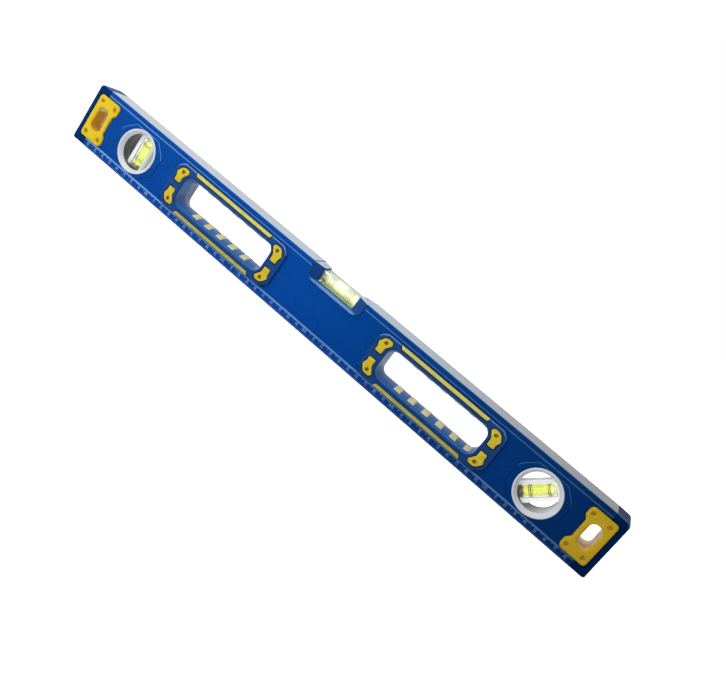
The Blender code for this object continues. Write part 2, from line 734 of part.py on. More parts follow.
def make_tube(vial, cx, angle):
    axis = tube_axis(angle)
    centre = Vector((cx, 0, VIAL_Z))
    bm = bmesh.new()
    profile = [
        (0, TUBE_HIGH), (TUBE_R - 0.5, TUBE_HIGH), (TUBE_R, TUBE_HIGH - 0.5), (TUBE_R, TUBE_LOW + 0.3), (TUBE_R - 0.3, TUBE_LOW),
        (TUBE_BORE_R, TUBE_LOW), (TUBE_BORE_R, TUBE_HIGH - TUBE_END), (0, TUBE_HIGH - TUBE_END),
    ]
    lathe(bm, profile, centre, axis, 24)
    finish(vial + "_vial_tube", bm, "clear_acrylic", origin=centre, smooth=False)

    bm = bmesh.new()
    head, stem = TUBE_LOW - 0.15, TUBE_BORE_R - 0.1
    lathe(bm, [(0, PLUG_LOW), (PLUG_HEAD_R - 0.4, PLUG_LOW), (PLUG_HEAD_R, PLUG_LOW + 0.4), (PLUG_HEAD_R, head), (stem, head), (stem, PLUG_STEM_TOP), (0, PLUG_STEM_TOP)], centre, axis, 20)
    finish(vial + "_vial_plug", bm, "grey_plastic", origin=centre)

    # the liquid leaves a channel open at the closed end of the tube for the bubble's travel
    low, high = PLUG_STEM_TOP + 0.1, TUBE_HIGH - TUBE_END - 0.1
    floor = low + 0.9
    bm = bmesh.new()
    lathe(
        bm,
        [(0, low), (TUBE_BORE_R - 0.1, low), (TUBE_BORE_R - 0.1, high), (BUBBLE_R + 0.25, high), (BUBBLE_R + 0.25, floor), (0, floor)],
        centre, axis, 20,
    )
    finish(vial + "_vial_liquid", bm, "vial_liquid", origin=centre)

    rest = high - 0.1 - BUBBLE_HALF
    bm = bmesh.new()
    r, h = BUBBLE_R, BUBBLE_HALF
    profile = [(0, h)] + [(r * math.sin(w), h - r * 0.8 + r * 0.8 * math.cos(w)) for w in (0.5, 1.0, math.pi / 2)]
    profile += [(r * math.sin(w), -h + r * 0.8 - r * 0.8 * math.cos(w)) for w in (math.pi / 2, 1.0, 0.5)] + [(0, -h)]
    at = centre + axis * rest
    lathe(bm, profile, at, axis, 16)
    finish(vial + "_vial_bubble", bm, "air", origin=at, smooth=True)


# ---------------------------------------------------------------- centre vial


def scoop_outline(half_x, z0, r, top):
    return fillet([(-half_x, z0, r), (half_x, z0, r), (half_x, top, 0), (-half_x, top, 0)], 6)


def make_centre_vial():
    bm = bmesh.new()
    outline = fillet(
        [(-POCKET_HALF_X + JOINT_GAP, POCKET_Z + JOINT_GAP, POCKET_R - 0.3), (POCKET_HALF_X - JOINT_GAP, POCKET_Z + JOINT_GAP, POCKET_R - 0.3),
         (POCKET_HALF_X - JOINT_GAP, CRADLE_Z1, 0), (-POCKET_HALF_X + JOINT_GAP, CRADLE_Z1, 0)],
        6,
    )
    prism(bm, outline, -HALF_DEPTH, HALF_DEPTH)
    cradle = finish("centre_vial_cradle", bm, "blue_plastic")

    def scoops(bm):
        top = HEIGHT + 6
        for side in (-1, 1):
            lofted(
                bm,
                [
                    [(u, depth_y(side, -0.4), v) for u, v in scoop_outline(SCOOP_HALF_X + 0.3, SCOOP_Z - 0.15, SCOOP_R, top)],
                    [(u, depth_y(side, SCOOP_DEPTH), v) for u, v in scoop_outline(THROAT_HALF_X, THROAT_Z, THROAT_R, top)],
                    [(u, depth_y(side, SCOOP_DEPTH + 0.4), v) for u, v in scoop_outline(THROAT_HALF_X, THROAT_Z, THROAT_R, top)],
                ],
            )

    cut(cradle, "cradle_scoops", scoops)

    def bed(bm):
        box(bm, -THROAT_HALF_X + 0.3, THROAT_HALF_X - 0.3, -HALF_DEPTH - 1, HALF_DEPTH + 1, BLOCK_Z0 - 0.25, HEIGHT + 5)

    cut(cradle, "cradle_bed", bed)

    axis = Vector((1, 0, 0))
    centre = Vector((0, 0, CENTRE_BORE_Z))
    bm = bmesh.new()
    box(bm, -BLOCK_HALF_X, BLOCK_HALF_X, -BLOCK_HALF_Y, BLOCK_HALF_Y, BLOCK_Z0, BLOCK_Z1)
    block = finish("centre_vial_block", bm, "clear_acrylic", origin=(0, 0, CENTRE_BORE_Z))
    bevel(block, 0.6)

    def bore(bm):
        cylinder(bm, centre, axis, CENTRE_BORE_R, -BLOCK_HALF_X - 5, BLOCK_HALF_X - 2.0, 24)

    cut(block, "block_bore", bore)

    bm = bmesh.new()
    cylinder(bm, centre, axis, CENTRE_BORE_R - 0.1, -BLOCK_HALF_X + 0.1, -BLOCK_HALF_X + CENTRE_PLUG, 20)
    finish("centre_vial_plug", bm, "grey_plastic", origin=centre)

    x0, x1 = -BLOCK_HALF_X + CENTRE_PLUG + 0.1, BLOCK_HALF_X - 2.1
    bm = bmesh.new()
    cylinder(bm, centre, axis, CENTRE_BORE_R - 0.1, x0, x1, 24)
    liquid = finish("centre_vial_liquid", bm, "vial_liquid", origin=centre)

    def channel(bm):
        cylinder(bm, (0, 0, CENTRE_CHANNEL_Z), axis, CENTRE_BUBBLE_R + 0.2, -BLOCK_HALF_X, CENTRE_TRAVEL + CENTRE_BUBBLE_HALF + 0.3, 16)

    cut(liquid, "liquid_channel", channel)

    bm = bmesh.new()
    r, h = CENTRE_BUBBLE_R, CENTRE_BUBBLE_HALF
    profile = [(0, h)] + [(r * math.sin(w), h - 1.8 * r + 1.8 * r * math.cos(w)) for w in (0.5, 1.0, math.pi / 2)]
    profile += [(r * math.sin(w), -h + 1.8 * r - 1.8 * r * math.cos(w)) for w in (math.pi / 2, 1.0, 0.5)] + [(0, -h)]
    at = Vector((0, 0, CENTRE_CHANNEL_Z))
    lathe(bm, profile, at, axis, 16)
    finish("centre_vial_bubble", bm, "air", origin=at, smooth=True)


# ---------------------------------------------------------------- assembly

clear_scene()
ROOT = bpy.data.objects.new("spirit_level", None)
bpy.context.scene.collection.objects.link(ROOT)

make_beam()
for side_name, hand in (("left", 1), ("right", -1)):
    make_cap(side_name, hand)
    for face, side in (("front", -1), ("rear", 1)):
        make_bracket(side_name, hand, face, side)
        make_grip_shell(side_name, hand, face, side)
        make_grip_soft(side_name, hand, face, side)
    for i, (x, z) in enumerate(bracket_screws(hand)):
        make_screw("bracket_screw_%s_%d" % (side_name, i + 1), x, z, -HALF_DEPTH + 0.3, 1.9, 7.5)
    for i, (x, z) in enumerate(grip_screws(hand)):
        make_screw("grip_screw_%s_%d" % (side_name, i + 1), x, z, -HALF_DEPTH + 0.1, 1.75, 7.5)

for vial, cx, angle in (("plumb", -VIAL_X, 90), ("angle", VIAL_X, 45)):
    make_bezel(vial, cx, "front", -1)
    make_bezel(vial, cx, "rear", 1)
    make_carrier(vial, cx, angle)
    make_tube(vial, cx, angle)

make_centre_vial()
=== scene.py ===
"""The looks of a 600 mm spirit level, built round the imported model: finely rounded pieces in the same
places as its nodes, procedural materials, a pale floor and soft studio light."""

import math

import bmesh
import bpy
from mathutils import Matrix, Vector

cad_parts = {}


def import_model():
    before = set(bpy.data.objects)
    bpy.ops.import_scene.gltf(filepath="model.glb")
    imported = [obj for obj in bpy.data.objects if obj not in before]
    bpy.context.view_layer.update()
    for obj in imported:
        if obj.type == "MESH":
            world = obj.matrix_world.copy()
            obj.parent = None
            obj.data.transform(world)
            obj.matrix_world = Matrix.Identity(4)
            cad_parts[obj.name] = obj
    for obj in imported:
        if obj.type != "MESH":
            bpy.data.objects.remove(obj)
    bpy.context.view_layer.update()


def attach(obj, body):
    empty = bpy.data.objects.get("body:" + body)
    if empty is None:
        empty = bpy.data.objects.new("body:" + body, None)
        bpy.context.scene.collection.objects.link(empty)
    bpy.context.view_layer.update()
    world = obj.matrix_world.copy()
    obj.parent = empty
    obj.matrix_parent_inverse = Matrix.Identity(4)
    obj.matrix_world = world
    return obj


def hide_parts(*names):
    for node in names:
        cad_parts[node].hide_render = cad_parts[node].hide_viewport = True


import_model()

MM = 0.001
BODY = "level_body"

# ---- sizes in millimetres, the same ones that the model is built on ----
LENGTH, DEPTH, HEIGHT = 600.0, 25.0, 58.0
CAP_LENGTH, JOINT_GAP, WEB_RECESS = 13.7, 0.3, 1.0
TOP_FLANGE, BOTTOM_FLANGE, WALL_WEB, WALL_TOP = 5.0, 7.0, 2.0, 3.0
MID_Z, HALF_DEPTH = HEIGHT / 2, DEPTH / 2
BRACKET_X0, BRACKET_X1, BRACKET_WAIST_X = 5.5, 31.2, 28.0
BRACKET_Z0, BRACKET_Z1, BRACKET_PROUD = 7.3, 50.7, 1.0
SLOT_X, SLOT_HALF_X, SLOT_HALF_Z, SLOT_R = 17.2, 5.7, 11.3, 4.8
SLOT_FLARE, SLOT_WALL = 1.9, 1.5
BRACKET_SCREW_X, BRACKET_SCREW_DZ = (10.5, 26.6), 16.5
GRIP_X, GRIP_HALF_X, GRIP_HALF_Z, GRIP_CHAMFER, GRIP_PROUD = 121.1, 68.0, 21.6, 7.5, 1.0
OPENING_HALF_X, OPENING_HALF_Z, OPENING_R, CROWN = 53.0, 15.6, 8.0, 4.2
SLEEVE_WALL, PAD_RAISE = 1.8, 0.5
GRIP_SCREW_X, GRIP_SCREW_DZ = 58.2, 14.1
BAR_HALF_X, BAR_Z, BAR_HALF_Z = 47.0, 20.0, 1.6
STRIPE_PITCH, STRIPE_HALF_X, STRIPE_DEPTH = 15.0, 3.4, 3.5
STRIPE_FIRST, STRIPES_LEFT, STRIPES_RIGHT = -27.7, 5, 6
VIAL_X, VIAL_Z = 232.4, 28.6
BEZEL_R, BEZEL_PROUD, WINDOW_R, CONE_DEPTH = 20.6, 0.3, 16.6, 3.2
SLEEVE_OUT_R, SLEEVE_IN_R = 18.9, 17.3
CARRIER_R, CARRIER_HALF_W, CARRIER_HALF_T = 17.0, 9.2, 4.0
TUBE_R, TUBE_BORE_R, TUBE_LOW, TUBE_HIGH, TUBE_END = 5.5, 3.0, -13.2, 14.2, 1.6
PLUG_LOW, PLUG_HEAD_R, PLUG_STEM_TOP = -16.0, 5.3, -12.4
BUBBLE_R, BUBBLE_HALF = 2.1, 2.4
POCKET_HALF_X, POCKET_Z, POCKET_R = 30.3, 41.0, 9.5
SCOOP_HALF_X, SCOOP_Z, SCOOP_R = 29.3, 41.9, 8.8
THROAT_HALF_X, THROAT_Z, THROAT_R, SCOOP_DEPTH = 20.2, 44.3, 3.6, 4.5
BLOCK_HALF_X, BLOCK_HALF_Y, BLOCK_Z0, BLOCK_Z1, CRADLE_Z1 = 19.4, 7.3, 44.8, 56.2, 57.6
CENTRE_BORE_R, CENTRE_BORE_Z = 4.5, 50.5
CENTRE_BUBBLE_R, CENTRE_BUBBLE_HALF, CENTRE_CHANNEL_Z, CENTRE_PLUG = 1.5, 5.6, 52.9, 5.2


# ---------------------------------------------------------------- mesh helpers


def fillet(corners, steps=6):
    """Closed outline from (u, v, radius) corners, each rounded by an arc."""
    out = []
    n = len(corners)
    for i, (u, v, r) in enumerate(corners):
        p = Vector((u, v))
        a = Vector(corners[i - 1][:2]) - p
        b = Vector(corners[(i + 1) % n][:2]) - p
        la, lb = a.length, b.length
        a.normalize()
        b.normalize()
        if r <= 0:
            out.append((u, v))
            continue
        half = a.angle(b) / 2
        share_a = 0.49 if corners[i - 1][2] > 0 else 0.98
        share_b = 0.49 if corners[(i + 1) % n][2] > 0 else 0.98
        t = min(r / math.tan(half), la * share_a, lb * share_b)
        rad = t * math.tan(half)
        centre = p + (a + b).normalized() * (rad / math.sin(half))
        start = p + a * t - centre
        end = p + b * t - centre
        turn = math.atan2(start.x * end.y - start.y * end.x, start.dot(end))
        for k in range(steps + 1):
            w = turn * k / steps
            out.append(
                (
                    centre.x + start.x * math.cos(w) - start.y * math.sin(w),
                    centre.y + start.x * math.sin(w) + start.y * math.cos(w),
                )
            )
    return out


def inset(corners, d):
    """Every edge of a (u, v, radius) polygon moved inward by d: convex corners tighten, concave ones widen."""
    n = len(corners)
    area = sum(corners[i][0] * corners[(i + 1) % n][1] - corners[(i + 1) % n][0] * corners[i][1] for i in range(n))
    turn = 1 if area > 0 else -1
    out = []
    for i in range(n):
        p0, p, p1 = (Vector(corners[(i + k) % n][:2]) for k in (-1, 0, 1))
        e0, e1 = (p - p0).normalized(), (p1 - p).normalized()
        n0, n1 = Vector((-e0.y, e0.x)) * turn, Vector((-e1.y, e1.x)) * turn
        cross = e0.x * e1.y - e0.y * e1.x
        if abs(cross) < 1e-6:
            q = p + n0 * d
        else:
            a, b = p0 + n0 * d, p + n1 * d
            q = a + e0 * (((b.x - a.x) * e1.y - (b.y - a.y) * e1.x) / cross)
        r = corners[i][2]
        if r > 0:
            r = max(r - d, 0.12) if cross * turn > 0 else max(r + d, 0.12)
        out.append((q.x, q.y, r))
    return out


def rounded_rect(u0, u1, v0, v1, r, steps=6):
    return fillet([(u0, v0, r), (u1, v0, r), (u1, v1, r), (u0, v1, r)], steps)


def lofted(bm, loops, closed=False):
    """Joins equal-length loops, with the two ends filled or, when closed, the last loop joined to the first."""
    rows = [[bm.verts.new(p) for p in loop] for loop in loops]
    m = len(rows[0])
    pairs = list(zip(rows, rows[1:]))
    if closed:
        pairs.append((rows[-1], rows[0]))
    else:
        bm.faces.new(rows[0])
        bm.faces.new(list(reversed(rows[-1])))
    for row, nxt in pairs:
        for j in range(m):
            k = (j + 1) % m
            bm.faces.new((row[j], nxt[j], nxt[k], row[k]))


def prism(bm, outline, a, b, axis="Y"):
    put = {"Y": lambda p, h: (p[0], h, p[1]), "X": lambda p, h: (h, p[0], p[1]), "Z": lambda p, h: (p[0], p[1], h)}[axis]
    lofted(bm, [[put(p, a) for p in outline], [put(p, b) for p in outline]])


def lathe(bm, profile, centre, axis, steps=64, closed=False):
    """Turns (radius, height) points about an axis."""
    axis = Vector(axis).normalized()
    side = axis.orthogonal().normalized()
    other = axis.cross(side)
    centre = Vector(centre)
    rows = []
    for r, h in profile:
        base = centre + axis * h
        if r < 1e-6:
            rows.append([bm.verts.new(base)])
        else:
            rows.append(
                [
                    bm.verts.new(base + side * (r * math.cos(math.tau * k / steps)) + other * (r * math.sin(math.tau * k / steps)))
                    for k in range(steps)
                ]
            )
    pairs = list(zip(rows, rows[1:]))
    if closed:
        pairs.append((rows[-1], rows[0]))
    for a, b in pairs:
        if len(a) == 1 and len(b) == 1:
            continue
        for k in range(steps):
            j = (k + 1) % steps
            if len(a) == 1:
                bm.faces.new((a[0], b[k], b[j]))
            elif len(b) == 1:
                bm.faces.new((a[k], b[0], a[j]))
            else:
                bm.faces.new((a[k], b[k], b[j], a[j]))


def cylinder(bm, centre, axis, radius, h0, h1, steps=48):
    lathe(bm, [(0, h0), (radius, h0), (radius, h1), (0, h1)], centre, axis, steps)


def box(bm, x0, x1, y0, y1, z0, z1):
    prism(bm, [(x0, z0), (x1, z0), (x1, z1), (x0, z1)], y0, y1)


def soft_box(bm, x0, x1, y0, y1, z0, z1, r=0.3, steps=3):
    """A block whose edges are all rounded."""
    corners = [(x0, z0, r), (x1, z0, r), (x1, z1, r), (x0, z1, r)]
    loops = []
    for k in range(steps + 1):
        a = math.pi / 2 * k / steps
        loops.append((r * (1 - math.sin(a)), y0 + r * (1 - math.cos(a))))
    for k in range(steps, -1, -1):
        a = math.pi / 2 * k / steps
        loops.append((r * (1 - math.sin(a)), y1 - r * (1 - math.cos(a))))
    lofted(bm, [[(u, y, v) for u, v in fillet(inset(corners, d), 3)] for d, y in loops])


def raw(name, build):
    bm = bmesh.new()
    build(bm)
    bmesh.ops.recalc_face_normals(bm, faces=bm.faces)
    bmesh.ops.scale(bm, verts=bm.verts, vec=(MM, MM, MM))
    mesh = bpy.data.meshes.new(name)
    bm.to_mesh(mesh)
    bm.free()
    obj = bpy.data.objects.new(name, mesh)
    bpy.context.scene.collection.objects.link(obj)
    return obj


def evaluated_mesh(obj):
    bpy.context.view_layer.update()
    graph = bpy.context.evaluated_depsgraph_get()
    mesh = bpy.data.meshes.new_from_object(obj.evaluated_get(graph), depsgraph=graph)
    obj.modifiers.clear()
    old, obj.data = obj.data, mesh
    bpy.data.meshes.remove(old)


class Piece:
    """One visible piece: a first shape, more shapes joined to it or cut from it, then its shading and its body."""

    def __init__(self, name, build):
        self.name, self.obj, self.helpers = name, raw(name, build), []

    def _with(self, build, operation):
        helper = raw(self.name + "_helper%d" % len(self.helpers), build)
        helper.hide_render = True
        mod = self.obj.modifiers.new(operation, "BOOLEAN")
        mod.solver, mod.operation, mod.object = "EXACT", operation, helper
        self.helpers.append(helper)

    def cut(self, build):
        self._with(build, "DIFFERENCE")
        return self

    def join(self, build):
        self._with(build, "UNION")
        return self

    def done(self, mats, nodes=(), slot=None, body=BODY, angle=38, pick=None):
        if self.helpers:
            evaluated_mesh(self.obj)
            for helper in self.helpers:
                mesh = helper.data
                bpy.data.objects.remove(helper, do_unlink=True)
                bpy.data.meshes.remove(mesh)
        mesh = self.obj.data
        assert len(mesh.polygons) > 0, self.name + " has no faces"
        mesh.materials.clear()
        for mat in mats if isinstance(mats, (list, tuple)) else [mats]:
            mesh.materials.append(mat)
        for poly in mesh.polygons:
            poly.material_index = pick(poly) if pick else 0
        mesh.shade_smooth()
        mesh.set_sharp_from_angle(angle=math.radians(angle))
        mod = self.obj.modifiers.new("Weighted", "WEIGHTED_NORMAL")
        mod.mode, mod.weight, mod.keep_sharp = "FACE_AREA", 100, True
        evaluated_mesh(self.obj)
        self.obj.data.name = self.name
        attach(self.obj, body)
        if nodes:
            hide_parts(*([nodes] if isinstance(nodes, str) else nodes))
        return self.obj


def depth_y(side, depth):
    return side * (HALF_DEPTH - depth)


def placed(outline, base, hand):
    return [(base + hand * u, v) for u, v in outline]


def edge_rings(back, front, radius, steps=6):
    """(inset, depth) rings of a plate from back to front whose front edge is rounded."""
    rings = [(0.0, back), (0.0, front + radius)]
    for k in range(1, steps + 1):
        a = math.pi / 2 * k / steps
        rings.append((radius * (1 - math.cos(a)), front + radius * (1 - math.sin(a))))
    return rings


def mouth_rings(front, flare, bottom, steps=7):
    """(growth, depth) rings of a cutter whose mouth rolls over into the face that it enters."""
    rings = [(flare, front - 1.5)]
    for k in range(steps + 1):
        a = math.pi / 2 * k / steps
        rings.append((flare * (1 - math.sin(a)), front - 0.02 + flare * (1 - math.cos(a))))
    rings.append((0.0, bottom))
    return rings


def dimple(bm, x, z, side, front, radius, flare, bottom, steps=32):
    """A round recess with a rolled mouth: front and bottom are depths behind the face plane."""
    profile = [(0.0, front - 1.5)]
    profile += [(radius + g, d) for g, d in mouth_rings(front, flare, bottom)]
    profile += [(0.0, bottom)]
    lathe(bm, profile, (x, side * HALF_DEPTH, z), (0, -side, 0), steps)


# ---------------------------------------------------------------- materials


class Mat:
    """A Principled material with a few procedural layers, all in the object's own millimetres."""

    def __init__(self, name, **sockets):
        self.mat = bpy.data.materials.new(name)
        self.mat.use_nodes = True
        self.tree = self.mat.node_tree
        self.shader = self.tree.nodes["Principled BSDF"]
        for key, value in sockets.items():
            self.shader.inputs[key.replace("_", " ")].default_value = value
        self.coords = self.tree.nodes.new("ShaderNodeTexCoord").outputs["Object"]
        self.normal = None

    def node(self, kind, **inputs):
        made = self.tree.nodes.new("ShaderNode" + kind)
        for key, value in inputs.items():
            made.inputs[key.replace("_", " ")].default_value = value
        return made

    def noise(self, size, detail=3.0, rough=0.5, stretch=(1, 1, 1), distortion=0.0):
        """Noise whose features are about this many millimetres across."""
        place = self.node("Mapping")
        place.inputs["Scale"].default_value = [1.0 / (size * MM * s) for s in stretch]
        self.tree.links.new(self.coords, place.inputs["Vector"])
        made = self.node("TexNoise", Scale=1.0, Detail=detail, Roughness=rough, Distortion=distortion)
        self.tree.links.new(place.outputs["Vector"], made.inputs["Vector"])
        return made.outputs["Fac"]

    def cells(self, size, feature="F1"):
        place = self.node("Mapping")
        place.inputs["Scale"].default_value = [1.0 / (size * MM)] * 3
        self.tree.links.new(self.coords, place.inputs["Vector"])
        made = self.node("TexVoronoi", Scale=1.0)
        made.feature = feature
        self.tree.links.new(place.outputs["Vector"], made.inputs["Vector"])
        return made.outputs["Distance"]

    def along(self, low, high, source=None, share=0.0):
        """0 to 1 along X between two places in millimetres, with a share of another source mixed in."""
        split = self.node("SeparateXYZ")
        self.tree.links.new(self.coords, split.inputs[0])
        made = self.node("MapRange", From_Min=low * MM, From_Max=high * MM)
        self.tree.links.new(split.outputs[0], made.inputs["Value"])
        if source is None:
            return made.outputs["Result"]
        mix = self.node("Mix")
        mix.inputs[0].default_value = share
        self.tree.links.new(made.outputs["Result"], mix.inputs[2])
        self.tree.links.new(source, mix.inputs[3])
        return mix.outputs[0]

    def up(self, low, high):
        """0 to 1 along Z between two heights in millimetres."""
        split = self.node("SeparateXYZ")
        self.tree.links.new(self.coords, split.inputs[0])
        made = self.node("MapRange", From_Min=low * MM, From_Max=high * MM)
        self.tree.links.new(split.outputs[2], made.inputs["Value"])
        return made.outputs["Result"]

    def ramp(self, source, stops):
        made = self.node("ValToRGB")
        elements = made.color_ramp.elements
        while len(elements) < len(stops):
            elements.new(0.5)
        for element, (place, colour) in zip(elements, stops):
            element.position = place
            element.color = colour if len(colour) == 4 else (*colour, 1.0)
        self.tree.links.new(source, made.inputs["Fac"])
        return made.outputs["Color"]

    def colour(self, source, stops):
        self.tree.links.new(self.ramp(source, stops), self.shader.inputs["Base Color"])
        return self

    def level(self, socket, source, low, high):
        made = self.node("MapRange", From_Min=0.3, From_Max=0.7, To_Min=low, To_Max=high)
        self.tree.links.new(source, made.inputs["Value"])
        self.tree.links.new(made.outputs["Result"], self.shader.inputs[socket])
        return self

    def bump(self, source, height, strength=1.0):
        """Adds relief of about this height in millimetres on top of what is there."""
        made = self.node("Bump", Strength=strength, Distance=height * MM)
        self.tree.links.new(source, made.inputs["Height"])
        if self.normal:
            self.tree.links.new(self.normal, made.inputs["Normal"])
        self.normal = made.outputs["Normal"]
        self.tree.links.new(self.normal, self.shader.inputs["Normal"])
        return self


def rgb(r, g, b):
    """Linear colour from 0 to 255 display values."""
    return tuple(((c / 255) / 12.92 if c <= 10 else ((c / 255 + 0.055) / 1.055) ** 2.4) for c in (r, g, b))


def shade(colour, k):
    return tuple(min(1.0, c * k) for c in colour)


PAINT = rgb(5, 66, 150)


def painted(name, k):
    """The powder coat, k times its usual brightness, with painted shade along the level: lightest just left of the
    middle, darkest at the right end.
    """
    made = Mat(name, Roughness=0.3, Specular_Tint=(0.06, 0.5, 1.0, 1))
    made.shader.inputs["Specular IOR Level"].default_value = 0.2
    made.colour(
        made.along(-300, 300, made.noise(90, 2.0), 0.2),
        [(0.05, shade(PAINT, 0.94 * k)), (0.45, shade(PAINT, 1.1 * k)), (0.7, shade(PAINT, 0.72 * k)), (0.9, shade(PAINT, 0.36 * k))],
    )
    made.level("Roughness", made.noise(7, 4.0), 0.24, 0.34)
    made.bump(made.noise(1.6, 2.0), 0.010).bump(made.noise(0.35, 2.0), 0.003)
    return made.mat


# painted shade: the second coat, at 0.28 of the brightness, darkens the downward and side borders of the raised vial
# fields
paint, paint_shadow = painted("blue_powder_coat", 1.0), painted("blue_powder_coat_painted_shade", 0.28)

# painted highlight: the ridges and the top front edge of the extrusion are coloured a light blue, darker towards the
# right end
HIGHLIGHT_BLUE = rgb(104, 158, 224)
paint_highlight = Mat("blue_powder_coat_painted_highlight", Roughness=0.2, Specular_Tint=(0.4, 0.75, 1.0, 1))
paint_highlight.colour(paint_highlight.along(-300, 300, paint_highlight.noise(14, 4.0), 0.35), [(0.1, shade(HIGHLIGHT_BLUE, 1.15)), (0.5, shade(HIGHLIGHT_BLUE, 0.7)), (0.9, shade(HIGHLIGHT_BLUE, 0.2))])
paint_highlight.level("Roughness", paint_highlight.noise(5, 3.0), 0.16, 0.26)
paint_highlight = paint_highlight.mat

milled = Mat("milled_aluminium", Metallic=0.6, Roughness=0.4)
# painted light and shade: brightest near the middle of the level and darker towards the right end
milled.colour(milled.along(-300, 300, milled.noise(24, 3.0, stretch=(1, 4, 1)), 0.12), [(0.1, rgb(192, 195, 198)), (0.5, rgb(200, 210, 222)), (0.9, rgb(152, 151, 152))])
milled.level("Roughness", milled.noise(0.5, 3.0, stretch=(1, 30, 1)), 0.34, 0.5)
milled.bump(milled.noise(0.45, 2.0, stretch=(1, 40, 1)), 0.006)
milled = milled.mat

CAP = rgb(6, 44, 102)
cap_blue = Mat("cap_plastic", Roughness=0.34, Specular_Tint=(0.08, 0.45, 0.9, 1))
cap_blue.shader.inputs["Specular IOR Level"].default_value = 0.03
# painted shade: the cap plastic is darker towards the right end
cap_blue.colour(cap_blue.along(-300, 300, cap_blue.noise(30, 3.0), 0.3), [(0.1, shade(CAP, 1.1)), (0.9, shade(CAP, 0.5))])
cap_blue.level("Roughness", cap_blue.noise(4, 3.0), 0.3, 0.42)
cap_blue.bump(cap_blue.cells(0.55), 0.008, 0.6)
cap_blue = cap_blue.mat

# painted highlight: the rounded outer edges of the caps are coloured a lighter blue
cap_highlight = Mat("cap_plastic_painted_highlight", Roughness=0.2, Specular_Tint=(0.6, 0.85, 1.0, 1))
cap_highlight.colour(cap_highlight.along(-300, 300, cap_highlight.noise(9, 4.0), 0.3), [(0.1, rgb(40, 100, 176)), (0.9, rgb(62, 108, 160))])
cap_highlight.level("Roughness", cap_highlight.noise(4, 3.0), 0.16, 0.26)
cap_highlight = cap_highlight.mat

GRIP = rgb(12, 62, 132)


def gripped(name, stops, level):
    """The grip's plastic, with painted shade along the level: its colour runs from the left end to a darker right end.
    """
    made = Mat(name, Roughness=0.3, Specular_Tint=(0.4, 0.75, 1.0, 1))
    made.shader.inputs["Specular IOR Level"].default_value = level
    made.colour(made.along(-300, 300, made.noise(26, 3.0), 0.25), stops)
    made.level("Roughness", made.noise(3, 3.0), 0.26, 0.38)
    made.bump(made.noise(0.5, 2.0), 0.004)
    return made.mat


grip_blue = gripped("grip_plastic", [(0.1, shade(GRIP, 1.1)), (0.5, shade(GRIP, 1.0)), (0.9, shade(GRIP, 0.7))], 0.3)
# painted shade: the grooves round the pads and bars are coloured near black
grip_groove_shade = gripped("grip_plastic_painted_groove_shade", [(0.1, rgb(4, 26, 66)), (0.9, rgb(3, 18, 48))], 0.1)
# painted light: the walls of the hand hole in the front shells are coloured a lighter blue
grip_wall_light = gripped("grip_plastic_painted_light", [(0.1, rgb(58, 104, 168)), (0.9, rgb(52, 98, 162))], 0.8)
# painted highlight: a lighter band across the scoop, brightest partway up between its rim and its throat
scoop_highlight = Mat("cradle_plastic_painted_highlight", Roughness=0.25, Specular_Tint=(0.4, 0.75, 1.0, 1))
scoop_highlight.colour(scoop_highlight.up(SCOOP_Z - 0.2, THROAT_Z + 0.3), [(0.02, rgb(52, 104, 172)), (0.4, rgb(96, 148, 206)), (0.62, rgb(84, 136, 196)), (0.95, rgb(26, 70, 134))])
scoop_highlight.level("Roughness", scoop_highlight.noise(3, 3.0), 0.2, 0.32)
scoop_highlight.bump(scoop_highlight.noise(0.5, 2.0), 0.004)
scoop_highlight = scoop_highlight.mat
cradle_top = Mat("cradle_plastic_top", Roughness=0.3)
cradle_top.colour(cradle_top.noise(8, 3.0, stretch=(1, 3, 1)), [(0.3, rgb(164, 174, 204)), (0.7, rgb(180, 188, 214))])
cradle_top.level("Roughness", cradle_top.noise(3, 3.0), 0.24, 0.38)
cradle_top.bump(cradle_top.noise(0.5, 2.0), 0.004)
cradle_top = cradle_top.mat
wall_lit = gripped("grip_plastic_lit", [(0.1, rgb(136, 148, 178)), (0.5, rgb(120, 140, 180)), (0.9, rgb(96, 122, 168))], 0.5)
# painted highlight: the upper chamfered corners of the grip plates are coloured a light blue
grip_highlight = gripped("grip_plastic_painted_highlight", [(0.1, rgb(112, 154, 204)), (0.5, rgb(104, 146, 198)), (0.9, rgb(70, 116, 172))], 0.6)

YELLOW = rgb(214, 184, 8)
hard_yellow = Mat("bracket_plastic", Roughness=0.4)
hard_yellow.shader.inputs["Specular IOR Level"].default_value = 0.28
hard_yellow.shader.inputs["Subsurface Weight"].default_value = 0.12
hard_yellow.shader.inputs["Subsurface Radius"].default_value = (0.0012, 0.0008, 0.0002)
hard_yellow.shader.inputs["Subsurface Scale"].default_value = 1.0
# painted shade: the yellow darkens towards the right end
hard_yellow.colour(
    hard_yellow.along(-300, 300, hard_yellow.noise(9, 4.0, distortion=0.4), 0.3),
    [(0.15, rgb(222, 192, 14)), (0.3, YELLOW), (0.7, rgb(200, 168, 6)), (0.88, rgb(196, 162, 6))],
)
hard_yellow.level("Roughness", hard_yellow.noise(2.4, 3.0), 0.34, 0.48)
hard_yellow.bump(hard_yellow.noise(0.4, 3.0), 0.006).bump(hard_yellow.noise(5.0, 1.0), 0.03)
hard_yellow = hard_yellow.mat

# painted light and shade: the walls of the slots and the screw recesses are coloured a deeper amber, for light passed
# through the yellow plastic and for the shade in them
amber = Mat("bracket_plastic_painted_light_and_shade", Roughness=0.2)
amber.shader.inputs["Specular IOR Level"].default_value = 0.12
amber.colour(amber.noise(5, 3.0), [(0.3, rgb(214, 160, 46)), (0.7, rgb(226, 178, 62))])
amber.bump(amber.noise(0.6, 3.0), 0.008)
amber = amber.mat

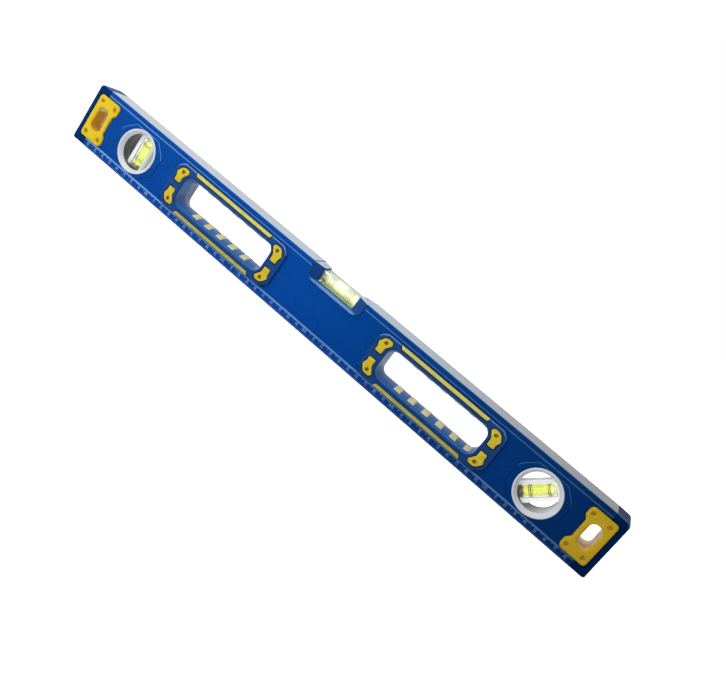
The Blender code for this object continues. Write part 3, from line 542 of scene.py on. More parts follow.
# painted light: the far half of each slot is coloured pale, for the light from behind
pale_amber = Mat("bracket_plastic_lit", Roughness=0.3)
pale_amber.colour(pale_amber.noise(5, 3.0), [(0.3, rgb(236, 218, 168)), (0.7, rgb(246, 232, 190))])
pale_amber.bump(pale_amber.noise(0.6, 3.0), 0.008)
pale_amber = pale_amber.mat

soft_yellow = Mat("overmoulded_rubber", Roughness=0.5)
soft_yellow.shader.inputs["Specular IOR Level"].default_value = 0.3
soft_yellow.shader.inputs["Sheen Weight"].default_value = 0.1
soft_yellow.shader.inputs["Sheen Roughness"].default_value = 0.6
soft_yellow.colour(soft_yellow.noise(6, 4.0, distortion=0.5), [(0.25, rgb(204, 178, 20)), (0.5, rgb(211, 188, 34)), (0.75, rgb(220, 200, 60))])
soft_yellow.level("Roughness", soft_yellow.noise(1.8, 3.0), 0.42, 0.58)
soft_yellow.bump(soft_yellow.cells(0.4), 0.012, 0.7).bump(soft_yellow.noise(3.0, 2.0), 0.02)
soft_yellow = soft_yellow.mat

# painted shade: the screw holes in the pads are coloured a darker yellow
soft_recess_shade = Mat("overmoulded_rubber_painted_recess_shade", Roughness=0.5)
soft_recess_shade.colour(soft_recess_shade.noise(2, 3.0), [(0.3, rgb(176, 136, 12)), (0.7, rgb(190, 152, 24))])
soft_recess_shade.bump(soft_recess_shade.cells(0.4), 0.012, 0.7)
soft_recess_shade = soft_recess_shade.mat

# painted light: the finger stripes in the hand holes are coloured pale
stripe_lit_yellow = Mat("overmoulded_rubber_painted_light", Roughness=0.5)
stripe_lit_yellow.shader.inputs["Sheen Weight"].default_value = 0.3
stripe_lit_yellow.shader.inputs["Sheen Roughness"].default_value = 0.5
stripe_lit_yellow.colour(stripe_lit_yellow.noise(3, 4.0, distortion=0.6), [(0.3, rgb(222, 212, 146)), (0.7, rgb(234, 228, 176))])
stripe_lit_yellow.level("Roughness", stripe_lit_yellow.noise(1.8, 3.0), 0.4, 0.56)
stripe_lit_yellow.bump(stripe_lit_yellow.cells(0.4), 0.012, 0.7)
stripe_lit_yellow = stripe_lit_yellow.mat

# the bars are coloured paler than the rest of the rubber
bar_yellow = Mat("overmoulded_rubber_pale", Roughness=0.5)
bar_yellow.shader.inputs["Sheen Weight"].default_value = 0.1
bar_yellow.shader.inputs["Sheen Roughness"].default_value = 0.5
bar_yellow.colour(bar_yellow.noise(7, 4.0, distortion=0.6), [(0.3, rgb(208, 192, 66)), (0.7, rgb(220, 208, 108))])
bar_yellow.level("Roughness", bar_yellow.noise(1.8, 3.0), 0.42, 0.58)
bar_yellow.bump(bar_yellow.cells(0.4), 0.012, 0.7)
bar_yellow = bar_yellow.mat

# painted shade: the lower bars of the front grips are coloured darker, as they turn away from the light
bar_low = Mat("lower_overmoulded_rubber_painted_shade", Roughness=0.5)
bar_low.shader.inputs["Sheen Weight"].default_value = 0.1
bar_low.shader.inputs["Sheen Roughness"].default_value = 0.5
bar_low.colour(bar_low.noise(7, 4.0, distortion=0.6), [(0.3, rgb(171, 163, 66)), (0.7, rgb(180, 177, 108))])
bar_low.level("Roughness", bar_low.noise(1.8, 3.0), 0.42, 0.58)
bar_low.bump(bar_low.cells(0.4), 0.012, 0.7)
bar_low = bar_low.mat

bezel_grey = Mat("bezel_plastic", Roughness=0.3)
bezel_grey.shader.inputs["Coat Weight"].default_value = 0.3
bezel_grey.shader.inputs["Coat Roughness"].default_value = 0.12
bezel_grey.colour(bezel_grey.noise(0.5, 2.0), [(0.3, rgb(216, 219, 224)), (0.7, rgb(222, 225, 229))])
bezel_grey.level("Roughness", bezel_grey.noise(3.0, 3.0), 0.26, 0.38)
bezel_grey.bump(bezel_grey.noise(0.3, 2.0), 0.003)
bezel_grey = bezel_grey.mat



def tunnelled(cx):
    """The lining of a vial's tunnel, with painted shade: dark grey on its left side and paler towards its right."""
    made = Mat("tunnel_plastic_painted_shade", Roughness=0.42)
    made.colour(
        made.along(cx - 17, cx + 17, made.noise(6.0, 3.0), 0.2),
        [(0.2, rgb(84, 86, 82)), (0.48, rgb(98, 102, 94)), (0.67, rgb(164, 166, 166)), (0.88, rgb(204, 206, 208))],
    )
    made.bump(made.noise(0.8, 3.0), 0.01)
    return made.mat


tunnel_shaded = {"plumb": tunnelled(-VIAL_X), "angle": tunnelled(VIAL_X)}



def carried(glow, source, low, high, stops):
    """White carrier plastic with painted light: it glows a little, for the light of a bright backdrop through thin
    plastic.
    """
    made = Mat("carrier_plastic_painted_glow", Roughness=0.32, Emission_Strength=glow, Emission_Color=(1, 1, 1, 1))
    made.shader.inputs["Subsurface Weight"].default_value = 0.5
    made.shader.inputs["Subsurface Radius"].default_value = (0.004, 0.004, 0.004)
    made.shader.inputs["Subsurface Scale"].default_value = 1.0
    made.colour(made.along(low, high, made.noise(source, 4.0), 0.12), stops)
    made.level("Roughness", made.noise(1.5, 3.0), 0.26, 0.42)
    made.bump(made.noise(1.0, 3.0), 0.008)
    return made.mat


carrier_glowing = {
    # painted shadow: the plumb carrier turns grey-green towards its right side
    "plumb": carried(0.14, 2.5, -VIAL_X - 9, -VIAL_X + 9, [(0.3, rgb(248, 249, 250)), (0.55, rgb(240, 242, 238)), (0.85, rgb(192, 200, 184))]),
    "angle": carried(0.28, 2.5, VIAL_X - 14, VIAL_X + 14, [(0.3, rgb(246, 247, 249)), (0.7, rgb(253, 253, 253))]),
}

plug_grey = Mat("plug_plastic", Roughness=0.4)
plug_grey.colour(plug_grey.noise(2.0, 3.0), [(0.3, rgb(128, 132, 108)), (0.7, rgb(152, 156, 128))])
plug_grey.bump(plug_grey.noise(0.5, 2.0), 0.006)
plug_grey = plug_grey.mat

plug_clear = Mat("plug_plastic_clear", Roughness=0.3, IOR=1.45)
plug_clear.shader.inputs["Transmission Weight"].default_value = 0.35
plug_clear.colour(plug_clear.noise(2.0, 3.0), [(0.3, rgb(196, 206, 132)), (0.7, rgb(212, 220, 158))])
plug_clear = plug_clear.mat

acrylic = Mat("clear_acrylic", Base_Color=(0.93, 0.955, 0.93, 1), IOR=1.49)
acrylic.shader.inputs["Transmission Weight"].default_value = 1.0
acrylic.level("Roughness", acrylic.noise(3.0, 2.0), 0.0, 0.02)
acrylic.bump(acrylic.noise(4.0, 1.0), 0.004)
acrylic = acrylic.mat

# painted light: the spirit glows a little yellow-green
liquid = Mat("vial_liquid", Roughness=0.02, IOR=1.36, Emission_Strength=0.04, Emission_Color=(0.80, 0.86, 0.20, 1))
liquid.shader.inputs["Transmission Weight"].default_value = 0.86
liquid.colour(liquid.noise(4.0, 2.0), [(0.3, rgb(222, 223, 98)), (0.7, rgb(230, 231, 120))])
liquid = liquid.mat

# painted light: more of the white backdrop shines down through the open block, so its spirit is coloured paler towards
# the top and glows a little
pale_liquid = Mat("vial_liquid_pale", Roughness=0.02, IOR=1.36, Emission_Strength=0.22, Emission_Color=(0.95, 0.95, 0.70, 1))
pale_liquid.shader.inputs["Transmission Weight"].default_value = 0.6
pale_liquid.colour(pale_liquid.up(46.4, 51.0), [(0.05, rgb(204, 216, 84)), (0.35, rgb(238, 240, 168)), (0.8, rgb(246, 246, 214))])
pale_liquid = pale_liquid.mat

# the viewing face on top of the block is finely hazed
block_top = Mat("block_top", Base_Color=(0.95, 0.96, 0.97, 1), IOR=1.49)
block_top.shader.inputs["Transmission Weight"].default_value = 0.92
block_top.level("Roughness", block_top.noise(3.0, 2.0), 0.0, 0.02)
block_top.bump(block_top.noise(4.0, 1.0), 0.004)
block_top = block_top.mat

# the underside of the block is coloured olive green
block_foot = Mat("block_foot", Roughness=0.6)
block_foot.colour(block_foot.noise(3.0, 3.0), [(0.3, rgb(158, 182, 76)), (0.7, rgb(180, 200, 104))])
block_foot = block_foot.mat

# painted light: the bubble glows a pale blue-white
air = Mat("bubble_air", Base_Color=(1, 1, 1, 1), Roughness=0.0, IOR=0.735, Emission_Strength=0.45, Emission_Color=(0.92, 0.97, 1.0, 1))
air.shader.inputs["Transmission Weight"].default_value = 1.0
air.bump(air.noise(6.0, 1.0), 0.002)
air = air.mat

ink = Mat("black_line", Roughness=0.4)
ink.colour(ink.noise(0.4, 2.0), [(0.3, rgb(16, 22, 14)), (0.7, rgb(34, 42, 26))])
ink = ink.mat

ruler_ink = Mat("ruler_ink", Roughness=0.45)
# painted shade: the print is darker towards the right end
ruler_ink.colour(ruler_ink.along(-300, 300, ruler_ink.noise(1.2, 4.0), 0.3), [(0.1, rgb(146, 184, 232)), (0.5, rgb(134, 170, 218)), (0.9, rgb(84, 124, 178))])
ruler_ink.bump(ruler_ink.noise(0.3, 2.0), 0.004)
ruler_ink = ruler_ink.mat

zinc = Mat("zinc_plate", Metallic=0.15, Roughness=0.45)
zinc.colour(zinc.noise(1.2, 3.0), [(0.3, rgb(178, 142, 24)), (0.7, rgb(202, 166, 40))])
zinc.level("Roughness", zinc.noise(0.6, 3.0), 0.28, 0.45)
zinc.bump(zinc.noise(0.25, 2.0, stretch=(1, 1, 6)), 0.008)
zinc = zinc.mat


# ---------------------------------------------------------------- beam, ruler and caps


def pocket_outline(grow=0.0, top=HEIGHT + 5, steps=12):
    hx, z0 = POCKET_HALF_X + grow, POCKET_Z - grow
    return fillet([(-hx, z0, POCKET_R), (hx, z0, POCKET_R), (hx, top, 0), (-hx, top, 0)], steps)


def slot_corners():
    x0, x1, z0, z1 = SLOT_X - SLOT_HALF_X, SLOT_X + SLOT_HALF_X, MID_Z - SLOT_HALF_Z, MID_Z + SLOT_HALF_Z
    return [(x0, z0, SLOT_R), (x1, z0, SLOT_R), (x1, z1, SLOT_R), (x0, z1, SLOT_R)]


def slot_outline(grow=0.0, steps=10):
    return fillet(inset(slot_corners(), -grow), steps)


def opening_loop(cx, y, grow, squeeze=0.0, steps=10):
    hx = OPENING_HALF_X + grow
    hz = OPENING_HALF_Z + grow - squeeze
    r = max(OPENING_R + grow, 1.0)
    return [Vector((cx + u, y, MID_Z + v)) for u, v in rounded_rect(-hx, hx, -hz, hz, r, steps)]


def plate_loop(cx, y, d, steps=10):
    """Chamfered outline of the grip's plate, inset by d, with as many points as opening_loop."""
    hx, hz, c = GRIP_HALF_X - d, GRIP_HALF_Z - d, GRIP_CHAMFER - d * 0.4
    out = []
    for su, sv, first in ((-1, -1, 0), (1, -1, 1), (1, 1, 0), (-1, 1, 1)):
        a = Vector((su * hx, sv * (hz - c)))
        b = Vector((su * (hx - c), sv * hz))
        if first:
            a, b = b, a
        for k in range(steps + 1):
            t = k / steps
            p = a.lerp(b, t) + Vector((su, sv)).normalized() * (1.1 * math.sin(math.pi * t))
            out.append(Vector((cx + p.x, y, MID_Z + p.y)))
    return out


def crown(depth):
    t = (depth - HALF_DEPTH) / (HALF_DEPTH + GRIP_PROUD)
    return CROWN * (1 - t * t)


def bracket_screws(hand):
    return [(hand * (-LENGTH / 2 + x), MID_Z + dz) for x in BRACKET_SCREW_X for dz in (-BRACKET_SCREW_DZ, BRACKET_SCREW_DZ)]


def grip_screws(hand):
    cx = -hand * GRIP_X
    return [(cx + dx, MID_Z + dz) for dx in (-GRIP_SCREW_X, GRIP_SCREW_X) for dz in (-GRIP_SCREW_DZ, GRIP_SCREW_DZ)]


def beam_section():
    h, w = HALF_DEPTH, HALF_DEPTH - WEB_RECESS
    top, low = HEIGHT - TOP_FLANGE, BOTTOM_FLANGE
    half = [(h, 0.0, 0.5), (h, low - 0.7, 0.5), (w, low + 0.2, 0.6), (w, top - 0.5, 0.5), (h, top + 0.7, 0.5), (h, HEIGHT, 0.7)]
    return fillet(half + [(-y, z, r) for y, z, r in reversed(half)], 5)


def plateau_corners():
    """The raised field round each round vial: an octagon with soft corners, about the vial's centre."""
    return [
        (-26.3, -7.5, 3.0), (-23.6, -12.0, 5.0), (-14.0, -20.7, 5.0), (14.0, -20.7, 5.0), (23.6, -12.0, 5.0), (26.3, -7.5, 3.0),
        (26.3, 7.5, 3.0), (23.6, 12.0, 5.0), (14.0, 20.7, 5.0), (-14.0, 20.7, 5.0), (-23.6, 12.0, 5.0), (-26.3, 7.5, 3.0),
    ]


def make_beam():
    end = LENGTH / 2 - CAP_LENGTH - JOINT_GAP / 2
    piece = Piece("aluminium_beam_fine", lambda bm: prism(bm, beam_section(), -end, end, axis="X"))
    inner = HALF_DEPTH - WEB_RECESS - WALL_WEB
    piece.cut(lambda bm: prism(bm, [(-inner, WALL_TOP), (inner, WALL_TOP), (inner, HEIGHT - WALL_TOP), (-inner, HEIGHT - WALL_TOP)], -LENGTH, LENGTH, axis="X"))

    def fields(bm):
        for sx in (-1, 1):
            for side in (-1, 1):
                rings = [(0.0, WEB_RECESS + 0.4), (0.0, WEB_RECESS), (0.14, WEB_RECESS - 0.12), (0.42, WEB_RECESS - 0.25), (0.85, WEB_RECESS - 0.3)]
                lofted(bm, [[(sx * VIAL_X + u, depth_y(side, d), VIAL_Z + v) for u, v in fillet(inset(plateau_corners(), g), 6)] for g, d in rings])

    piece.join(fields)

    def windows(bm):
        for sx in (-1, 1):
            cylinder(bm, (sx * VIAL_X, 0, VIAL_Z), (0, 1, 0), SLEEVE_OUT_R + JOINT_GAP, -40, 40, 96)
            hole = opening_loop(sx * GRIP_X, 0, SLEEVE_WALL + 1.4, 0)
            prism(bm, [(p.x, p.z) for p in hole], -41, 41)
            prism(bm, placed(slot_outline(SLOT_WALL + JOINT_GAP), -sx * LENGTH / 2, sx), -42, 42)
        prism(bm, pocket_outline(), -43, 43)

    piece.cut(windows)

    # painted highlight on the top front edge, the flange steps and the upward borders of the vial fields; painted shade
    # on the fields' downward and side borders
    def pick(poly):
        n, z, y = poly.normal, poly.center.z / MM, abs(poly.center.y) / MM
        if abs(n.z) > 0.95 and (z > HEIGHT - 0.05 or z < 0.05):
            return 1
        if y > HALF_DEPTH - WEB_RECESS - WALL_WEB + 0.5 and n.z > 0.2 and z > HEIGHT - 0.75:
            return 2
        if y > HALF_DEPTH - WEB_RECESS - 0.1 and abs(n.y) > 0.2:
            if HEIGHT - TOP_FLANGE - 0.6 < z < HEIGHT - TOP_FLANGE + 0.75 and n.z < -0.12:
                return 2
            if n.z > 0.2 and (BOTTOM_FLANGE - 0.9 < z < BOTTOM_FLANGE + 0.3 or VIAL_Z < z < HEIGHT - TOP_FLANGE - 2):
                return 2
            if VIAL_Z - 22 < z < VIAL_Z + 18 and (n.z < -0.15 or abs(n.x) > 0.15):
                return 3
        return 0

    return piece.done([paint, milled, paint_highlight, paint_shadow], "aluminium_beam", "blue_powder_coat", pick=pick)


def digit_shapes():
    """The ten digits as flat faces 1 high, standing on v = 0 and centred in u."""
    shapes = {}
    for ch in "0123456789":
        curve = bpy.data.curves.new("digit", "FONT")
        curve.body = ch
        curve.size = 1.0
        curve.resolution_u = 3
        obj = bpy.data.objects.new("digit", curve)
        bpy.context.scene.collection.objects.link(obj)
        bpy.context.view_layer.update()
        graph = bpy.context.evaluated_depsgraph_get()
        mesh = bpy.data.meshes.new_from_object(obj.evaluated_get(graph), depsgraph=graph)
        us = [v.co.x for v in mesh.vertices]
        vs = [v.co.y for v in mesh.vertices]
        tall = max(vs) - min(vs)
        mid = (max(us) + min(us)) / 2
        points = [((v.co.x - mid) / tall, (v.co.y - min(vs)) / tall) for v in mesh.vertices]
        shapes[ch] = (points, [list(p.vertices) for p in mesh.polygons], (max(us) - min(us)) / tall)
        bpy.data.meshes.remove(mesh)
        bpy.data.objects.remove(obj, do_unlink=True)
        bpy.data.curves.remove(curve)
    return shapes


def make_ruler():
    """The centimetre ruler printed along the lower front flange: a line, ticks and plain digits."""
    y0, y1 = -HALF_DEPTH - 0.03, -HALF_DEPTH + 0.05
    first, last = CAP_LENGTH + 1.5, LENGTH - CAP_LENGTH - 1.5
    shapes = digit_shapes()

    def build(bm):
        box(bm, first - 300, last - 300, y0, y1, 6.02, 6.28)
        for mm in range(16, 585):
            x = mm - 300
            if mm % 10 == 0:
                box(bm, x - 0.2, x + 0.2, y0, y1, 2.6, 6.02)
            elif mm % 5 == 0:
                box(bm, x - 0.15, x + 0.15, y0, y1, 4.4, 6.02)
            tall = 2.3 if mm % 10 == 0 else 2.0 if mm % 5 == 0 else 1.5
            box(bm, x - 0.1, x + 0.1, y0, y1, 0.7, tall)
        for cm in range(2, 59):
            text = str(cm) if cm % 10 == 0 else str(cm % 10)
            size = 2.7
            widths = [shapes[ch][2] * size for ch in text]
            total = sum(widths) + 0.35 * (len(text) - 1)
            at = cm * 10 - 300 - 0.7 - total
            for ch, width in zip(text, widths):
                points, faces, _ = shapes[ch]
                verts = [bm.verts.new((at + width / 2 + u * size, y0, 2.75 + v * size)) for u, v in points]
                made = []
                for face in faces:
                    made.append(bm.faces.new([verts[i] for i in face]))
                grown = bmesh.ops.extrude_face_region(bm, geom=made)
                moved = [g for g in grown["geom"] if isinstance(g, bmesh.types.BMVert)]
                bmesh.ops.translate(bm, verts=moved, vec=(0, y1 - y0, 0))
                at += width + 0.35

    Piece("ruler_marks", build).done(ruler_ink, slot="blue_powder_coat")


def make_cap(side_name, hand):
    base = -hand * LENGTH / 2
    seam = CAP_LENGTH - JOINT_GAP / 2

    def build(bm):
        loops = []
        steps = [0.0, 0.05, 0.14, 0.28, 0.46, 0.68, 0.94, 1.22, 1.5]

        def ring(s, y):
            end = 1.5 - math.sqrt(max(0.0, 1.5**2 - (1.5 - min(s, 1.5)) ** 2))
            edge = 0.75 - math.sqrt(max(0.0, 0.75**2 - (0.75 - min(s, 0.75)) ** 2))
            near = 0.3 - math.sqrt(max(0.0, 0.09 - (0.3 - min(s, 0.3)) ** 2))
            corners = [(end, edge, 2.0), (seam - near, edge, 0.25), (seam - near, HEIGHT - edge, 0.25), (end, HEIGHT - 0.6 - edge, 3.6)]
            return [(base + hand * u, y, v) for u, v in fillet(corners, 8)]

        for s in steps:
            loops.append(ring(s, -HALF_DEPTH + s))
        for s in reversed(steps):
            loops.append(ring(s, HALF_DEPTH - s))
        lofted(bm, loops)

    piece = Piece("end_cap_%s_fine" % side_name, build)

    def seats(bm):
        corners = [(4.6, 6.4, 3.0), (seam + 3, 6.4, 0), (seam + 3, 51.6, 0), (4.6, 51.6, 3.0)]
        for side in (-1, 1):
            loops = []
            for g, d in [(0.7, -1.0), (0.7, -0.02), (0.36, 0.06), (0.14, 0.2), (0.02, 0.5), (0.0, WEB_RECESS - 0.25), (-0.25, WEB_RECESS)]:
                grown = [(u - (g if u < 10 else 0), v + (g if v > 20 else -g), r) for u, v, r in corners]
                loops.append([(base + hand * u, depth_y(side, d), v) for u, v in fillet(grown, 8)])
            lofted(bm, loops)

    piece.cut(seats)
    piece.cut(lambda bm: prism(bm, placed(slot_outline(SLOT_WALL + JOINT_GAP), base, hand), -40, 40))

    # painted highlight on the rounded front and rear edges along the top and the upper outer end
    def pick(poly):
        n, c = poly.normal, poly.center / MM
        outer = c.z > HEIGHT - 3.0 or abs(c.x - base) < 1.3 and c.z > HEIGHT / 2
        return 1 if outer and HALF_DEPTH - abs(c.y) < 0.6 and 0.2 < abs(n.y) < 0.96 else 0

    piece.done([cap_blue, cap_highlight], "end_cap_" + side_name, "blue_plastic", pick=pick)


# ---------------------------------------------------------------- hang-slot brackets and screws


def make_bracket(side_name, hand, face, side):
    base = -hand * LENGTH / 2
    y = lambda d: depth_y(side, d)
    z0, z1, x0, x1, w = BRACKET_Z0, BRACKET_Z1, BRACKET_X0, BRACKET_X1, BRACKET_WAIST_X
    corners = [
        (x0, z0, 3.2), (x1, z0, 4.0), (x1, z0 + 9.0, 3.0), (w, z0 + 13.0, 3.0),
        (w, z1 - 13.0, 3.0), (x1, z1 - 9.0, 3.0), (x1, z1, 4.0), (x0, z1, 3.2),
    ]

    def build(bm):
        rings = edge_rings(WEB_RECESS - 0.2, -BRACKET_PROUD + 0.12, 1.35, 8)
        rings += [(2.1, -BRACKET_PROUD)]
        lofted(bm, [[(u, y(d), v) for u, v in placed(fillet(inset(corners, g), 7), base, hand)] for g, d in rings])

    piece = Piece("hang_bracket_%s_%s_fine" % (side_name, face), build)

    def sleeve(bm):
        prism(bm, placed(slot_outline(SLOT_WALL), base, hand), *sorted((y(0.2), y(HALF_DEPTH - JOINT_GAP / 2))))
        for x, z in bracket_screws(hand):
            cylinder(bm, (x, 0, z), (0, side, 0), 3.2, 0.3, HALF_DEPTH - 0.4, 32)

    piece.join(sleeve)

    def hollow(bm):
        loops = [[(u, y(d), v) for u, v in placed(slot_outline(g), base, hand)] for g, d in mouth_rings(-BRACKET_PROUD, SLOT_FLARE, HALF_DEPTH + 3, 9)]
        lofted(bm, loops)

    piece.cut(hollow)
    if side < 0:
        for at in bracket_screws(hand):
            piece.cut(lambda bm, at=at: dimple(bm, at[0], at[1], side, -BRACKET_PROUD + 0.04, 1.75, 1.5, 1.63, 36))

    # painted light on the far walls of the slots; painted light and shade on the other slot walls and in the screw
    # recesses
    def pick(poly):
        c = poly.center / MM
        depth = HALF_DEPTH - abs(c.y)
        u, v = abs(c.x - base) - SLOT_X, c.z - MID_Z
        if depth > -BRACKET_PROUD + 1.0 and abs(u) < SLOT_HALF_X + 0.6 and abs(v) < SLOT_HALF_Z + 0.6:
            return 2 if side > 0 or (depth > 5.0 and v > 1.0) else 1
        if side < 0 and depth > -BRACKET_PROUD + 0.5 and depth < 2.0 and any(math.hypot(c.x - x, c.z - z) < 2.5 for x, z in bracket_screws(hand)):
            return 1
        return 0

    piece.done([hard_yellow, amber, pale_amber], "hang_bracket_%s_%s" % (side_name, face), "yellow_plastic", pick=pick)


def make_screw(name, x, z, head_y, head_r, tip_y):
    """A pan-head screw with a crosshead drive."""

    def build(bm):
        lathe(
            bm,
            [(0, head_y), (head_r * 0.55, head_y + 0.03), (head_r * 0.82, head_y + 0.13), (head_r * 0.96, head_y + 0.34), (head_r, head_y + 0.6),
             (head_r, head_y + 1.1), (0.95, head_y + 1.1), (0.95, tip_y - 0.8), (0, tip_y)],
            (x, 0, z), (0, 1, 0), 40,
        )

    def drive(bm):
        w, r = 0.19, head_r * 0.62
        cross = [(w, w), (r, w), (r, -w), (w, -w), (w, -r), (-w, -r), (-w, -w), (-r, -w), (-r, w), (-w, w), (-w, r), (w, r)]
        prism(bm, [(x + u, z + v) for u, v in cross], head_y - 1.0, head_y + 0.62)

    Piece(name + "_fine", build).cut(drive).done(zinc, name, "zinc_steel")


# ---------------------------------------------------------------- hand grips


def stripe_xs(cx):
    count = STRIPES_LEFT if cx < 0 else STRIPES_RIGHT
    return [cx + STRIPE_FIRST + k * STRIPE_PITCH for k in range(count)]


def pad_corners():
    return [
        (-5.0, -10.6, 0.9), (1.7, -10.6, 0.9), (1.9, -4.6, 1.8), (6.0, 1.4, 1.3),
        (4.2, 3.8, 1.3), (-0.2, 4.1, 1.7), (-3.4, 2.6, 1.7), (-6.6, -2.2, 1.3), (-5.0, -6.2, 1.7),
    ]


def bar_corners(sz):
    h, b, z = BAR_HALF_X, BAR_HALF_Z, MID_Z + sz * BAR_Z
    return [(-h, z + sz * b, 0.5), (-h + 2.2, z - sz * b, 0.5), (h - 2.2, z - sz * b, 0.5), (h, z + sz * b, 0.5)]


def stripe_loops(side, wall, sx, grow, proud, outer, start, end, round_by=0.0):
    """Loops across one finger stripe: a patch that follows the crowned wall with its edges rolled down."""
    loops = []
    n = 8
    half = STRIPE_HALF_X + grow
    depths = [start + (end - start) * k / n for k in range(n + 1)]
    for x, sink in ((-half, round_by), (-half + 0.35, round_by * 0.25), (-half + 0.9, 0.0), (half - 0.9, 0.0), (half - 0.35, round_by * 0.25), (half, round_by)):
        ring = []
        for i, d in enumerate(depths):
            roll = sink + (round_by if i == 0 else round_by * 0.2 if i == 1 else 0.0)
            ring.append((sx + x, depth_y(side, d), MID_Z + wall * (OPENING_HALF_Z - crown(d) - proud + min(roll, round_by))))
        for d in reversed(depths):
            ring.append((sx + x, depth_y(side, d), MID_Z + wall * (OPENING_HALF_Z - crown(d) + outer)))
        loops.append(ring)
    return loops


def make_grip(side_name, hand, face, side):
    cx = -hand * GRIP_X
    y = lambda d: depth_y(side, d)
    seam = HALF_DEPTH - JOINT_GAP / 2
    front, back = -GRIP_PROUD, WEB_RECESS - 0.2
    screws = grip_screws(hand)

    def body(bm):
        loops = []
        for k in range(9):
            a = math.pi / 2 * k / 8
            g, d = 1.3 * (1 - math.sin(a)), front + 1.3 * (1 - math.cos(a))
            loops.append(opening_loop(cx, y(d), g, crown(d)))
        for k in range(1, 13):
            d = 0.3 + (seam - 0.3) * k / 12
            loops.append(opening_loop(cx, y(d), 0.0, crown(d)))
        for k in range(12, -1, -3):
            d = 0.9 + (seam - 0.9) * k / 12
            loops.append(opening_loop(cx, y(d), SLEEVE_WALL, crown(d)))
        loops += [plate_loop(cx, y(back), 2.0), plate_loop(cx, y(back), 0.0)]
        for k in range(9):
            a = math.pi / 2 * k / 8
            loops.append(plate_loop(cx, y(front + 1.1 * (1 - math.sin(a))), 1.1 * (1 - math.cos(a))))
        lofted(bm, loops, closed=True)

    shell = Piece("grip_shell_%s_%s_fine" % (side_name, face), body)

    def pad_place(x, z):
        su = 1 if x < cx else -1
        sv = 1 if z > MID_Z else -1
        return lambda u, v: (x + su * u, z + sv * v)

    def windows(bm):
        for x, z in screws:
            put = pad_place(x, z)
            rings = [(-1.05, front - 1.0), (-0.98, front - 0.02), (-0.86, front + 0.06), (-0.8, front + 0.2), (-0.8, front + 0.78)]
            lofted(bm, [[(p[0], y(d), p[1]) for p in (put(u, v) for u, v in fillet(inset(pad_corners(), g), 5))] for g, d in rings])
        for sz in (-1, 1):
            rings = [(-0.95, front - 1.0), (-0.88, front - 0.02), (-0.78, front + 0.06), (-0.7, front + 0.2), (-0.7, front + 0.74)]
            lofted(bm, [[(cx + u, y(d), v) for u, v in fillet(inset(bar_corners(sz), g), 4)] for g, d in rings])
        for wall in (-1, 1):
            for sx in stripe_xs(cx):
                lofted(bm, stripe_loops(side, wall, sx, 0.15, 1.5, 0.75, STRIPE_DEPTH - 0.15, HALF_DEPTH + 1))

    shell.cut(windows)
    if side < 0:

        def recesses(bm):
            for x, z in screws:
                cylinder(bm, (x, side * HALF_DEPTH, z), (0, -side, 0), 1.9, -3, back - 0.12, 32)

        shell.cut(recesses)

    # painted highlight on the plate's upper chamfers, painted light on the hand hole's walls, painted shade in the
    # grooves round pads and bars
    def pick(poly):
        n, c = poly.normal, poly.center / MM
        depth = HALF_DEPTH - abs(c.y)
        u, v = abs(c.x - cx), abs(c.z - MID_Z)
        if depth < front + 1.15 and n.z > 0.2 and 0.15 < abs(n.y) < 0.97 and c.z > MID_Z + GRIP_HALF_Z - GRIP_CHAMFER * 0.75 and u > GRIP_HALF_X - 17 and u + v > GRIP_HALF_X + GRIP_HALF_Z - 17 and v > GRIP_HALF_Z - 1.2 - max(0.0, u - GRIP_HALF_X + GRIP_CHAMFER + 0.5):
            return 3
        inside = u < OPENING_HALF_X + 0.3 and v < OPENING_HALF_Z + 0.3
        if inside and depth > front + 1.0:
            return 2 if side < 0 else 4
        if not inside and front + 0.1 < depth < front + 0.9 and u < GRIP_HALF_X - 1.4 and v < GRIP_HALF_Z - 0.9 and not (u < OPENING_HALF_X + 1.9 and v < OPENING_HALF_Z + 1.9 - crown(depth) and abs(n.y) > 0.3):
            return 1
        return 0

    shell.done([grip_blue, grip_groove_shade, grip_wall_light, grip_highlight, wall_lit], "grip_shell_%s_%s" % (side_name, face), "blue_plastic", pick=pick)

    def first_pad(bm):
        top = front - PAD_RAISE
        for x, z in screws:
            put = pad_place(x, z)
            rings = edge_rings(front + 0.7, top + 0.1, 0.75, 6) + [(1.3, top + 0.02), (1.8, top)]
            lofted(bm, [[(p[0], y(d), p[1]) for p in (put(u, v) for u, v in fillet(inset(pad_corners(), g), 5))] for g, d in rings])
        for sz in (-1, 1):
            rings = edge_rings(front + 0.66, top + 0.05, 0.7, 6) + [(1.0, top)]
            lofted(bm, [[(cx + u, y(d), v) for u, v in fillet(inset(bar_corners(sz), g), 4)] for g, d in rings])
        for wall in (-1, 1):
            for sx in stripe_xs(cx):
                lofted(bm, stripe_loops(side, wall, sx, 0.0, 0.45, 0.7, STRIPE_DEPTH, seam - 0.02, 0.5))

    soft = Piece("grip_soft_%s_%s_fine" % (side_name, face), first_pad)
    if side < 0:

        def holes(bm):
            for x, z in screws:
                dimple(bm, x, z, side, front - PAD_RAISE, 1.5, 1.0, 1.0)

        soft.cut(holes)

